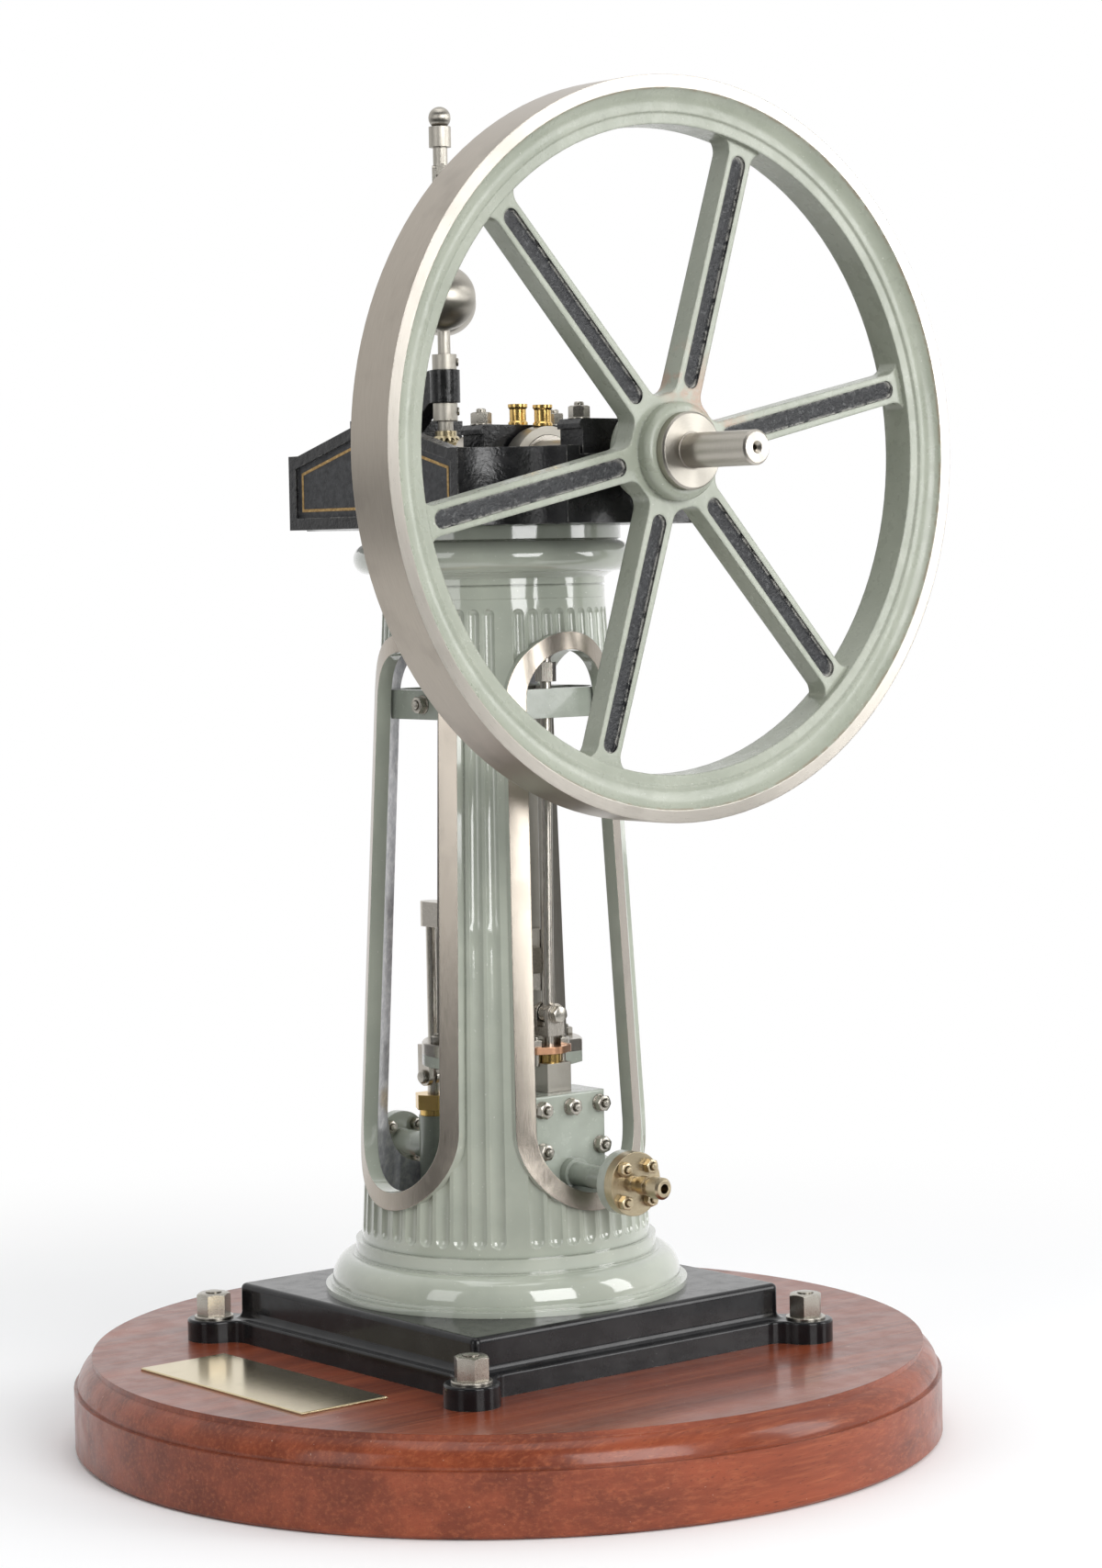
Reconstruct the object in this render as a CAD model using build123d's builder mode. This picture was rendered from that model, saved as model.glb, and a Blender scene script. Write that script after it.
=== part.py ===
# Model of a vertical column steam engine: a fluted hollow column on a black base plate and a round
# wooden plinth, with the cylinder standing inside the column, an entablature with gabled ends that
# carries the crankshaft, an overhung flywheel in front and a fly-ball governor behind.
# Z is up, the crankshaft lies along Y, and the origin is the centre of the plinth's underside.
import os
from math import atan2, cos, degrees, hypot, pi, radians, sin, sqrt, tan

from build123d import *

os.makedirs("parts", exist_ok=True)

# Plinth and base plate
plinth_r = 119.0
plinth_h = 25.0
plinth_band_h = 16.8
plinth_groove = 1.0
plinth_lip_h = 1.6
plinth_setback = 5.0
plinth_edge = 0.8
base_margin = 3.3
base_spread = 3.0
base_foot_h = 6.0
base_h = 15.6
base_cove_r = 2.1
base_corner_r = 2.0
base_top_round = 1.5
base_foot_round = 0.7
lug_out = 2.0
lug_r = 7.4
lug_blend_r = 5.0

# Column
foot_ring_out = 10.1
foot_ring_h = 1.6
foot_bead_out = 0.6
foot_bead_h = 1.0
foot_ovolo_in = 1.9
foot_ovolo_h = 7.4
foot_neck_out = 2.8
foot_fillet_out = 1.6
foot_fillet_h = 3.6
foot_h = 13.9
column_r_low = 39.6
column_r_top = 30.4
column_wall = 3.0
column_h = 174.5
window_low = 16.0
window_high = 13.7
window_r_low = 16.9
window_r_top = 13.4
border_w = 4.8
border_rise = 1.2
flute_count = 48
flute_end = 2.5
flute_w_low = 4.1
flute_w_top = 3.2
flute_depth = 0.95
cap_band_h = 3.3
cap_neck_h = 3.2
cap_torus_out = 7.6
cap_torus_h = 9.0
cap_top_out = 4.6
cap_top_h = 4.0
cap_mouth_out = 1.1

# Entablature: gables at both X ends, arms along Y
crank_clear = 4.4
ent_half_y = 57.5
ent_corner_r = 20.0
ent_h = 20.1
ent_wall = 4.5
ent_floor = 3.0
gable_eave = 18.9
gable_apex = 29.2
panel_margin = 3.2
panel_depth = 0.9
axis_rise = 17.8

# Crankshaft and bearings
shaft_r = 4.75
stub_len = 24.35
stub_step = 0.25
shaft_rear = 45.0
shaft_rear_r = 3.5
run_clear = 0.08
throw = 25.4
pin_r = 4.0
web_gap = 6.4
web_t = 3.8
web_shaft_r = 8.0
web_pin_r = 6.4
big_end_r = 7.4
bearing_t = 9.0
bearing_half = 16.3
web_clear = 0.6
bearing_rear_y = 37.5
bearing_cap_h = 9.2
bearing_flange_h = 2.6
beam_h = 11.5
cup_r = 2.65
cup_waist_r = 2.25
cup_h = 5.7

# Flywheel
wheel_r = 95.25
wheel_gap = 6.45
wheel_w = 14.9
rim_band = 3.3
rim_cove = 5.8
rim_cove_depth = 2.2
rim_depth = 12.25
rim_inner_w = 9.4
spoke_count = 6
spoke_angle = 17.5
spoke_hub_w = 8.6
spoke_rim_w = 7.6
spoke_t = 6.4
spoke_fillet = 4.0
spoke_bed = 0.5
slot_w = 4.7
slot_root = 4.3
slot_margin = 3.0
slot_depth = 0.9
hub_r = 12.7
hub_front = 7.3
hub_rear = 9.0
hub_round = 1.9
hub_fillet = 2.2
collar_r = 10.0
collar_w = 2.7

# Cylinder, steam chest and pump inside the column
cylinder_flange_out = 5.5
cylinder_flange_t = 3.0
cylinder_h = 64.4
cover_t = 3.3
flat_clear = 0.4
gland_boss_r = 6.5
gland_boss_h = 5.0
piston_rod_r = 3.0
sheave_clear = 1.1
chest_half = 12.0
chest_low = 25.4
chest_h = 30.0
chest_reach = 5.6
chest_cover_t = 3.0
stuffing_half = 4.2
stuffing_h = 7.8
gland_sleeve_r = 3.2
valve_gland_r = 4.6
valve_gland_t = 1.9
valve_gland_gap = 2.5
valve_stud_pitch = 9.2
valve_stud_boss_r = 2.4
spindle_r = 1.5
fork_half = 2.85
fork_gap = 3.4
fork_ear_t = 1.5
fork_base_t = 2.4
fork_room = 0.5
fork_pin_rise = 8.8
inlet_rise = 8.5
inlet_r = 3.2
inlet_collar_r = 4.2
inlet_collar_t = 2.4
inlet_flange_r = 8.5
inlet_flange_t = 3.0
inlet_reach = 23.5
nipple_neck_r = 2.0
nipple_ring_r = 2.5
nipple_end_r = 2.9
nipple_len = 11.5
nipple_bore_r = 1.3
pump_clear = 0.3
pump_gap = 3.5
pump_r = 4.6
pump_foot_r = 5.4
pump_foot_h = 3.0
pump_h = 43.6
pump_branch_rise = 34.4
pump_branch_r = 3.6
pump_flange_out = 7.0
pump_nut_af = 10.2
pump_nut_h = 6.0
pump_nut_neck = 1.8
plunger_r = 2.0
plunger_eye_rise = 5.0
plunger_clear = 0.6
pump_fork_len = 9.0

# Guides, crosshead and connecting rod (at the bottom of the stroke)
wrist_rise = 32.7
frame_drop = 24.2
frame_h = 7.9
frame_clear = 0.1
frame_set = 4.1
frame_t = 2.5
guide_out = 16.0
guide_t = 3.5
guide_slot = 4.4
guide_w_low = 6.3
guide_w_top = 2.8
pad_h = 17.0
pad_clear = 0.2
wrist_r = 5.4
wrist_gap = 6.2
cheek_t = 3.0
arm_h = 7.0
palm_half = 7.5
palm_h = 4.0
palm_gap = 0.4
shank_low_r = 2.6
shank_mid_r = 3.4

# Valve eccentric
eccentricity = 3.8
eccentric_lead = 29.0
sheave_r = 9.6
sheave_w = 5.4
strap_r = 12.0
strap_w = 5.0
strap_ear = 3.0
ecc_rod_r = 1.5
eye_r = 2.6
eye_t = 2.4
adjuster_af = 5.0
adjuster_h = 5.2
adjuster_rise = 89.6

# Governor
governor_y = 19.7
gear_module = 0.525
wheel_teeth = 24
pinion_teeth = 16
gear_face = 2.4
gear_hub_step = 0.7
pinion_hub_step = 1.2
gear_hub_h = 3.6
pinion_hub_h = 1.4
gear_backlash = 0.23
spindle_gov_r = 1.75
gov_collar_r = 3.4
gov_collar_rise = 11.7
gov_collar_h = 4.9
gov_top_collar_h = 4.2
boss_r = 4.2
boss_h = 9.0
bracket_t = 5.0
bracket_foot_t = 3.2
gov_head_half = 3.4
gov_tongue_half = 1.6
gov_pivot_rise = 80.2
gov_pivot_off = 3.4
gov_neck_r = 2.0
gov_neck_h = 3.0
gov_cap_r = 3.05
gov_cap_h = 5.6
gov_arm_r = 1.1
gov_ball_r = 9.0
gov_ball_clear = 0.75
gov_ball_rise = 44.7
gov_turn = -128.4

# Sizes that follow from the ones above
plinth_top_r = plinth_r - plinth_setback
foot_ring_r = column_r_low + foot_ring_out
foot_ovolo_r = foot_ring_r - foot_ovolo_in
foot_neck_r = column_r_low + foot_neck_out
foot_fillet_r = column_r_low + foot_fillet_out
base_top_half = foot_ring_r + base_margin
base_half = base_top_half + base_spread
lug_half = base_half + lug_out
cap_torus_r = column_r_top + cap_torus_out
cap_top_r = column_r_top + cap_top_out
cap_mouth_r = column_r_top + cap_mouth_out
ent_half_x = throw + web_pin_r + crank_clear + ent_wall
web_face = web_gap / 2 + web_t
bearing_inner_y = -(web_face + web_clear + bearing_t / 2)
bearing_front_y = -(ent_half_y - bearing_t / 2)
valve_y = bearing_inner_y - bearing_t / 2 - sheave_clear - sheave_w / 2
wheel_y = -(ent_half_y + wheel_gap + hub_rear)
collar_face = wheel_y - hub_front - collar_w
shaft_front = stub_len - collar_face
stub_r = shaft_r - stub_step
rim_inner_r = wheel_r - rim_depth
hub_root_r = hub_r + hub_fillet
slot_in = hub_r + slot_root
slot_out = rim_inner_r - slot_margin
pump_y = column_r_low - column_wall - pump_clear - pump_foot_r
pump_flange_y = column_r_low + pump_flange_out
cylinder_flange_r = pump_y - pump_foot_r - pump_gap
cylinder_r = cylinder_flange_r - cylinder_flange_out
plunger_depth = pump_h - pump_branch_rise - pump_branch_r - plunger_clear
gear_hub_r = gear_module * wheel_teeth / 2 - gear_hub_step
pinion_hub_r = gear_module * pinion_teeth / 2 - pinion_hub_step
gov_ball_out = gov_ball_r + spindle_gov_r + gov_ball_clear

# Levels
z_base = plinth_h
z_deck = z_base + base_h
z_column = z_deck + foot_h
z_cap = z_column + column_h
z_ent = z_cap + cap_band_h + cap_neck_h + cap_torus_h + cap_top_h
z_axis = z_ent + axis_rise
z_pin = z_axis - throw
z_cover = z_deck + cylinder_h
z_head = z_cover + cover_t
z_wrist = z_head + wrist_rise
z_chest = z_deck + chest_low
z_chest_top = z_chest + chest_h
z_gland = z_chest_top + stuffing_h + valve_gland_gap
z_fork_pin = z_gland + valve_gland_t + fork_pin_rise
z_frame = z_cap - frame_drop
z_palm = z_pin - big_end_r - palm_gap
z_pump_nut = z_deck + pump_h
z_pump_eye = z_pump_nut + pump_nut_h + plunger_eye_rise
crank_line = Axis((0, 0, z_axis), (0, 1, 0))


def facing(y):
    """Upright plane across the crankshaft at y, looking to the front, with Z as its second axis."""
    return Plane.XZ.offset(-y)


def column_radius(z):
    return column_r_low + (column_r_top - column_r_low) * (z - z_column) / column_h


def outline(plane, *points):
    """Closed polygon on a plane."""
    with BuildSketch(plane) as face:
        with BuildLine():
            Polyline(*points, close=True)
        make_face()
    return face.sketch


# Plinth: a turned disc with a grooved, rounded shoulder
with BuildPart() as plinth:
    with BuildSketch(Plane.XZ):
        with BuildLine():
            neck_r = plinth_r - plinth_groove
            neck = plinth_band_h + plinth_groove
            shoulder = plinth_h - plinth_lip_h
            Polyline((0, 0), (plinth_r, 0), (plinth_r, plinth_band_h))
            Polyline((plinth_r, plinth_band_h), (neck_r, plinth_band_h), (neck_r, neck))
            RadiusArc(
                (neck_r, neck),
                (plinth_top_r, shoulder),
                -1.1 * hypot(neck_r - plinth_top_r, shoulder - neck),
            )
            Polyline((plinth_top_r, shoulder), (plinth_top_r, plinth_h), (0, plinth_h), (0, 0))
        make_face()
    revolve(axis=Axis.Z)
    chamfer(plinth.edges().filter_by(GeomType.CIRCLE).group_by(Axis.Z)[0], length=plinth_edge)
plinth.part.label = "plinth"
export_step(plinth.part, "parts/plinth.step")

# Base plate: square casting with a coved rise, soft edges and a round lug at each corner
with BuildPart() as base_plate:
    with BuildSketch(Plane.XY.offset(z_base)) as foot:
        Rectangle(2 * base_half, 2 * base_half)
        with GridLocations(2 * lug_half, 2 * lug_half, 2, 2):
            Circle(lug_r)
        inner = foot.vertices().filter_by(lambda v: max(abs(v.X), abs(v.Y)) < base_half + 0.01)
        fillet(inner, radius=lug_blend_r)
    extrude(amount=base_foot_h)
    with BuildSketch(Plane.XY.offset(z_base + base_foot_h)):
        RectangleRounded(2 * base_top_half, 2 * base_top_half, base_corner_r)
    extrude(amount=base_h - base_foot_h)
    ledge = base_plate.edges().filter_by(lambda e: abs(e.center().Z - z_base - base_foot_h) < 0.01)
    half = base_top_half + base_spread / 2
    fillet(ledge.filter_by(lambda e: max(abs(e.center().X), abs(e.center().Y)) > half), radius=base_foot_round)
    fillet(ledge.filter_by(lambda e: max(abs(e.center().X), abs(e.center().Y)) < half), radius=base_cove_r)
    fillet(base_plate.faces().sort_by(Axis.Z)[-1].edges(), radius=base_top_round)
base_plate.part.label = "base_plate"
export_step(base_plate.part, "parts/base_plate.step")

# Column: turned foot, tapered shaft with four round-ended windows, turned cap
with BuildPart() as column_foot:
    with BuildSketch(Plane.XZ):
        with BuildLine():
            bore = column_r_low - column_wall
            ring = z_deck + foot_ring_h
            step = ring + foot_bead_h
            top = step + foot_ovolo_h
            Polyline(
                (bore, z_deck),
                (foot_ring_r, z_deck),
                (foot_ring_r, ring),
                (foot_ovolo_r + foot_bead_out, ring),
                (foot_ovolo_r + foot_bead_out, step),
                (foot_ovolo_r, step),
            )
            EllipticalCenterArc(
                (foot_neck_r, step),
                foot_ovolo_r - foot_neck_r,
                foot_ovolo_h,
                start_angle=0,
                arc_size=90,
            )
            Polyline(
                (foot_neck_r, top),
                (foot_neck_r, z_column - foot_fillet_h),
                (foot_fillet_r, z_column - foot_fillet_h),
                (foot_fillet_r, z_column),
                (bore, z_column),
                (bore, z_deck),
            )
        make_face()
    revolve(axis=Axis.Z)
column_foot.part.label = "column_foot"
export_step(column_foot.part, "parts/column_foot.step")

window_z_low = z_column + window_low + window_r_low
window_z_top = z_cap - window_high - window_r_top


def window(plane, grow=0.0):
    """Round-ended window, wider at the foot, on an upright plane."""
    with BuildSketch(plane) as face:
        with Locations((0, window_z_low)):
            Circle(window_r_low + grow)
        with Locations((0, window_z_top)):
            Circle(window_r_top + grow)
        make_hull()
    return face.sketch


with BuildPart() as window_borders:
    extrude(window(Plane.XZ, border_w), amount=2 * column_r_low, both=True)
    extrude(window(Plane.YZ, border_w), amount=2 * column_r_low, both=True)
    with BuildSketch(Plane.XZ):
        with BuildLine():
            Polyline(
                (column_r_low - column_wall / 2, z_column),
                (column_r_low + border_rise, z_column),
                (column_r_top + border_rise, z_cap),
                (column_r_top - column_wall / 2, z_cap),
                close=True,
            )
        make_face()
    revolve(axis=Axis.Z, mode=Mode.INTERSECT)


def flute_radius(width):
    return (width**2 / 4 + flute_depth**2) / (2 * flute_depth)


# One flute: a slim cone with ball ends, lying along the slope of the shaft
flute_r_low = flute_radius(flute_w_low)
flute_r_top = flute_radius(flute_w_top)
z_flute_low = z_column + flute_end + flute_w_low / 2
z_flute_top = z_cap - flute_end - flute_w_top / 2
flute_low = Vector(column_radius(z_flute_low) - flute_depth + flute_r_low, 0, z_flute_low)
flute_top = Vector(column_radius(z_flute_top) - flute_depth + flute_r_top, 0, z_flute_top)
along = (flute_top - flute_low).normalized()
across = Vector(0, 1, 0)
with BuildPart() as flute_cutter:
    with BuildSketch(Plane(flute_low, x_dir=across, z_dir=across.cross(along))):
        with BuildLine():
            run = (flute_top - flute_low).length
            CenterArc((0, 0), flute_r_low, -90, 90)
            Line((flute_r_low, 0), (flute_r_top, run))
            CenterArc((0, run), flute_r_top, 0, 90)
            Line((0, run + flute_r_top), (0, -flute_r_low))
        make_face()
    revolve(axis=Axis(flute_low, along))

with BuildPart() as column_shaft:
    with BuildSketch(Plane.XZ):
        with BuildLine():
            Polyline(
                (column_r_low - column_wall, z_column),
                (column_r_low, z_column),
                (column_r_top, z_cap),
                (column_r_top - column_wall, z_cap),
                close=True,
            )
        make_face()
    revolve(axis=Axis.Z)
    with PolarLocations(0, flute_count, start_angle=180 / flute_count):
        add(flute_cutter.part, mode=Mode.SUBTRACT)
    add(window_borders.part)
    extrude(window(Plane.XZ), amount=2 * column_r_low, both=True, mode=Mode.SUBTRACT)
    extrude(window(Plane.YZ), amount=2 * column_r_low, both=True, mode=Mode.SUBTRACT)
column_shaft.part.label = "column_shaft"
export_step(column_shaft.part, "parts/column_shaft.step")

with BuildPart() as column_cap:
    with BuildSketch(Plane.XZ):
        with BuildLine():
            bore = column_r_top - column_wall
            neck = z_cap + cap_band_h
            low = neck + cap_neck_h
            high = low + cap_torus_h
            Polyline(
                (cap_mouth_r, z_ent),
                (bore, low),
                (bore, z_cap),
                (column_r_top, z_cap),
                (column_r_top, neck),
                (column_r_top - 0.4, neck),
                (column_r_top - 0.4, neck + 0.5),
                (column_r_top, neck + 0.5),
                (column_r_top, low - 1),
                (column_r_top + 2.6, low + 0.6),
            )
            ThreePointArc(
                (column_r_top + 2.6, low + 0.6),
                (cap_torus_r, low + 0.55 * cap_torus_h),
                (cap_top_r - 0.8, high),
            )
            Polyline(
                (cap_top_r - 0.8, high),
                (cap_top_r, high + 0.4),
                (cap_top_r, z_ent),
                (cap_mouth_r, z_ent),
            )
        make_face()
    revolve(axis=Axis.Z)
column_cap.part.label = "column_cap"
export_step(column_cap.part, "parts/column_cap.step")

# Entablature: open-topped tray with hollowed corners, gabled ends and three bearing pedestals
with BuildPart() as entablature:
    with BuildSketch(Plane.XY.offset(z_ent)):
        Rectangle(2 * ent_half_x, 2 * ent_half_y)
        with GridLocations(2 * ent_half_x, 2 * ent_half_y, 2, 2):
            Circle(ent_corner_r, mode=Mode.SUBTRACT)
    extrude(amount=ent_h)
    with BuildSketch(Plane.XY.offset(z_ent + ent_floor)):
        Rectangle(2 * (ent_half_x - ent_wall), 2 * (ent_half_y - ent_wall))
        with GridLocations(2 * ent_half_x, 2 * ent_half_y, 2, 2):
            Circle(ent_corner_r + ent_wall, mode=Mode.SUBTRACT)
    extrude(amount=ent_h, mode=Mode.SUBTRACT)
    with BuildSketch(Plane.XY.offset(z_ent)):
        Circle(cap_mouth_r)
    extrude(amount=ent_floor, mode=Mode.SUBTRACT)
    gable_half = ent_half_y - ent_corner_r
    gable_slope = (gable_apex - gable_eave) / gable_half
    panel_half = gable_half - panel_margin
    panel_eave = z_ent + gable_eave - 0.7 * panel_margin
    for side in (-1, 1):
        end_face = Plane.YZ.offset(side * ent_half_x)
        gable = outline(
            end_face,
            (-gable_half, z_ent),
            (gable_half, z_ent),
            (gable_half, z_ent + gable_eave),
            (0, z_ent + gable_apex),
            (-gable_half, z_ent + gable_eave),
        )
        extrude(gable, amount=-side * ent_wall)
        panel = outline(
            end_face,
            (-panel_half, z_ent + panel_margin),
            (panel_half, z_ent + panel_margin),
            (panel_half, panel_eave),
            (0, panel_eave + gable_slope * panel_half),
            (-panel_half, panel_eave),
        )
        extrude(panel, amount=-side * panel_depth, mode=Mode.SUBTRACT)
    for y in (bearing_front_y, bearing_rear_y):
        with BuildSketch(Plane.XY.offset(z_ent)):
            with Locations((0, y)):
                Rectangle(2 * bearing_half, bearing_t)
        extrude(amount=axis_rise)
    with BuildSketch(Plane.XY.offset(z_ent)):
        with Locations((0, bearing_inner_y)):
            Rectangle(2 * (cap_mouth_r + 1), bearing_t)
    extrude(amount=beam_h)
    with BuildSketch(Plane.XY.offset(z_ent + beam_h)):
        with Locations((0, bearing_inner_y)):
            Rectangle(2 * bearing_half, bearing_t)
    extrude(amount=axis_rise - beam_h)
    with BuildSketch(facing(bearing_front_y)):
        with Locations((0, z_axis + ent_h / 2)):
            Rectangle(2 * bearing_half, ent_h)
    extrude(amount=bearing_t, both=True, mode=Mode.SUBTRACT)
    for bore, reach in ((shaft_r, shaft_front), (shaft_rear_r, -shaft_rear - 1)):
        with BuildSketch(facing(0)):
            with Locations((0, z_axis)):
                Circle(bore + run_clear)
        extrude(amount=reach, mode=Mode.SUBTRACT)
entablature.part.label = "entablature"
export_step(entablature.part, "parts/entablature.step")

# Bearing caps: a hump over the shaft between two flanges, and a brass oil cup on the inner one
bearings = (
    ("front", bearing_front_y, shaft_r),
    ("inner", bearing_inner_y, shaft_r),
    ("rear", bearing_rear_y, shaft_rear_r),
)
for name, y, journal_r in bearings:
    with BuildPart() as bearing_cap:
        with BuildSketch(facing(y)):
            with BuildLine():
                Polyline(
                    (-bearing_half, z_axis),
                    (bearing_half, z_axis),
                    (bearing_half, z_axis + bearing_cap_h - bearing_flange_h / 2),
                    (bearing_half - 1, z_axis + bearing_cap_h),
                    (1 - bearing_half, z_axis + bearing_cap_h),
                    (-bearing_half, z_axis + bearing_cap_h - bearing_flange_h / 2),
                    close=True,
                )
            make_face()
            with Locations((0, z_axis)):
                Circle(journal_r + run_clear, mode=Mode.SUBTRACT)
            with Locations((-bearing_half, z_axis), (bearing_half, z_axis)):
                Rectangle(2, 2 * (bearing_cap_h - bearing_flange_h), mode=Mode.SUBTRACT)
        extrude(amount=bearing_t / 2, both=True)
    bearing_cap.part.label = f"{name}_bearing_cap"
    export_step(bearing_cap.part, f"parts/{name}_bearing_cap.step")

cup_outline = (
    (0, 0),
    (cup_r, 0),
    (cup_r, 0.13 * cup_h),
    (cup_waist_r, 0.22 * cup_h),
    (cup_waist_r, 0.76 * cup_h),
    (cup_r, 0.85 * cup_h),
    (cup_r, cup_h),
    (0.6 * cup_waist_r, cup_h),
    (0.6 * cup_waist_r, 0.6 * cup_h),
    (0, 0.6 * cup_h),
)
with BuildPart() as inner_oil_cup:
    seat = Plane((0, bearing_inner_y, z_axis + bearing_cap_h), x_dir=(1, 0, 0), z_dir=(0, -1, 0))
    revolve(outline(seat, *cup_outline), axis=Axis(seat.origin, (0, 0, 1)))
inner_oil_cup.part.label = "inner_oil_cup"
export_step(inner_oil_cup.part, "parts/inner_oil_cup.step")

# Crankshaft: one forging with two webs, the pin down at the bottom of the stroke
with BuildPart() as crankshaft:
    with BuildSketch(facing(0)):
        with Locations((0, z_axis)):
            Circle(shaft_r)
    extrude(amount=-collar_face)
    with BuildSketch(facing(collar_face)):
        with Locations((0, z_axis)):
            Circle(stub_r)
    extrude(amount=shaft_front + collar_face)
    with BuildSketch(facing(0)):
        with Locations((0, z_axis)):
            Circle(shaft_rear_r)
    extrude(amount=-shaft_rear)
    with BuildSketch(facing(0)):
        with Locations((0, z_axis)):
            Circle(web_shaft_r)
        with Locations((0, z_pin)):
            Circle(web_pin_r)
        make_hull()
    extrude(amount=web_face, both=True)
    with BuildSketch(facing(0)):
        with Locations((0, z_axis - throw / 2)):
            Rectangle(4 * throw, 4 * throw)
    extrude(amount=web_gap / 2, both=True, mode=Mode.SUBTRACT)
    with BuildSketch(facing(0)):
        with Locations((0, z_pin)):
            Circle(pin_r)
    extrude(amount=web_gap / 2, both=True)
    tip = crankshaft.edges().filter_by(GeomType.CIRCLE).sort_by(Axis.Y)
    chamfer([tip[0], tip[-1]], length=0.6)
    with Locations(Location((0, -shaft_front, z_axis), (90, 0, 0))):
        CounterSinkHole(0.7, 1.6, depth=3)
crankshaft.part.label = "crankshaft"
export_step(crankshaft.part, "parts/crankshaft.step")

with BuildPart() as big_end:
    with BuildSketch(facing(0)):
        with Locations((0, z_pin)):
            Circle(big_end_r)
            Circle(pin_r, mode=Mode.SUBTRACT)
    extrude(amount=web_gap / 2 - 0.2, both=True)
big_end.part.label = "big_end"
export_step(big_end.part, "parts/big_end.step")

# Flywheel: rim with a coved face, six tapered spokes with sunk panels, and a boss that flows into them
with BuildPart() as flywheel:
    section = Plane((0, wheel_y, z_axis), x_dir=(0, 1, 0), z_dir=(1, 0, 0))
    disc = Plane((0, wheel_y, z_axis), x_dir=(1, 0, 0), z_dir=(0, -1, 0))
    half = wheel_w / 2
    cove_out = wheel_r - rim_band
    cove_in = cove_out - rim_cove
    with BuildSketch(disc):
        Circle(cove_in - 1)
    extrude(amount=spoke_t / 2, both=True)
    with BuildSketch(disc) as gaps:
        Circle(rim_inner_r + spoke_bed)
        Circle(hub_root_r, mode=Mode.SUBTRACT)
        with PolarLocations(0, spoke_count, start_angle=90 - spoke_angle):
            Polygon(
                (0, -spoke_hub_w / 2),
                (wheel_r, -spoke_rim_w / 2),
                (wheel_r, spoke_rim_w / 2),
                (0, spoke_hub_w / 2),
                align=None,
                mode=Mode.SUBTRACT,
            )
        fillet(gaps.vertices(), radius=spoke_fillet)
    extrude(amount=spoke_t, both=True, mode=Mode.SUBTRACT)
    for way in (-1, 1):
        with BuildSketch(disc.offset(way * spoke_t / 2)):
            with PolarLocations((slot_in + slot_out) / 2, spoke_count, start_angle=90 - spoke_angle):
                SlotOverall(slot_out - slot_in, slot_w)
        extrude(amount=-way * slot_depth, mode=Mode.SUBTRACT)
    with BuildSketch(section):
        with BuildLine():
            Polyline((0, wheel_r), (-half, wheel_r), (-half, cove_out))
            RadiusArc((-half, cove_out), (rim_cove_depth - half, cove_in), rim_cove)
            Polyline(
                (rim_cove_depth - half, cove_in),
                (-rim_inner_w / 2, cove_in - 0.4),
                (-rim_inner_w / 2, rim_inner_r),
                (0, rim_inner_r),
            )
            mirror(about=Plane.YZ)
        make_face()
    revolve(axis=crank_line)
    with BuildSketch(section) as boss:
        with BuildLine():
            Polyline(
                (-hub_front, 0),
                (-hub_front, hub_r),
                (-spoke_t / 2, hub_r),
                (-spoke_t / 2, hub_root_r),
                (spoke_t / 2, hub_root_r),
                (spoke_t / 2, hub_r),
                (hub_rear, hub_r),
                (hub_rear, 0),
                close=True,
            )
        make_face()
        shoulder = boss.vertices().group_by(Axis.Y)[1].sort_by(Axis.X)
        fillet([shoulder[0], shoulder[-1]], radius=hub_round)
        fillet(shoulder[1:3], radius=hub_fillet)
    revolve(axis=crank_line)
    with BuildSketch(disc):
        Circle(shaft_r)
    extrude(amount=hub_front + hub_rear, both=True, mode=Mode.SUBTRACT)
flywheel.part.label = "flywheel"
export_step(flywheel.part, "parts/flywheel.step")

with BuildPart() as shaft_collar:
    with BuildSketch(facing(wheel_y - hub_front)):
        with Locations((0, z_axis)):
            Circle(collar_r)
            Circle(shaft_r, mode=Mode.SUBTRACT)
    extrude(amount=collar_w)
    chamfer(shaft_collar.faces().sort_by(Axis.Y)[0].edges().sort_by(SortBy.RADIUS)[-1], length=0.5)
shaft_collar.part.label = "shaft_collar"
export_step(shaft_collar.part, "parts/shaft_collar.step")

# Valve eccentric, its strap and the long rod down to the valve spindle's fork
sheave_x = eccentricity * sin(radians(eccentric_lead))
sheave_drop = eccentricity * cos(radians(eccentric_lead))
sheave_z = z_axis - sheave_drop
with BuildPart() as valve_eccentric:
    with BuildSketch(facing(valve_y)):
        with Locations((sheave_x, sheave_z)):
            Circle(sheave_r)
        with Locations((0, z_axis)):
            Circle(shaft_r, mode=Mode.SUBTRACT)
    extrude(amount=sheave_w / 2, both=True)
valve_eccentric.part.label = "valve_eccentric"
export_step(valve_eccentric.part, "parts/valve_eccentric.step")

rod_way = Vector(-sheave_x, 0, z_fork_pin - sheave_z).normalized()
rod_reach = hypot(sheave_x, z_fork_pin - sheave_z)
rod_root = Vector(sheave_x, valve_y, sheave_z) + rod_way * strap_r
with BuildPart() as eccentric_strap:
    with BuildSketch(facing(valve_y)):
        with Locations((sheave_x, sheave_z)):
            Circle(strap_r)
            Rectangle(2 * (strap_r + strap_ear), 2 * strap_ear)
        with Locations((sheave_x, sheave_z - strap_r)):
            Rectangle(2.4 * strap_ear, 2 * strap_ear)
        with Locations((sheave_x, sheave_z)):
            Circle(sheave_r + run_clear, mode=Mode.SUBTRACT)
    extrude(amount=strap_w / 2, both=True)
    split(bisect_by=Plane(rod_root + rod_way * strap_ear * 0.8, z_dir=-rod_way), keep=Keep.TOP)
eccentric_strap.part.label = "eccentric_strap"
export_step(eccentric_strap.part, "parts/eccentric_strap.step")

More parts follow.
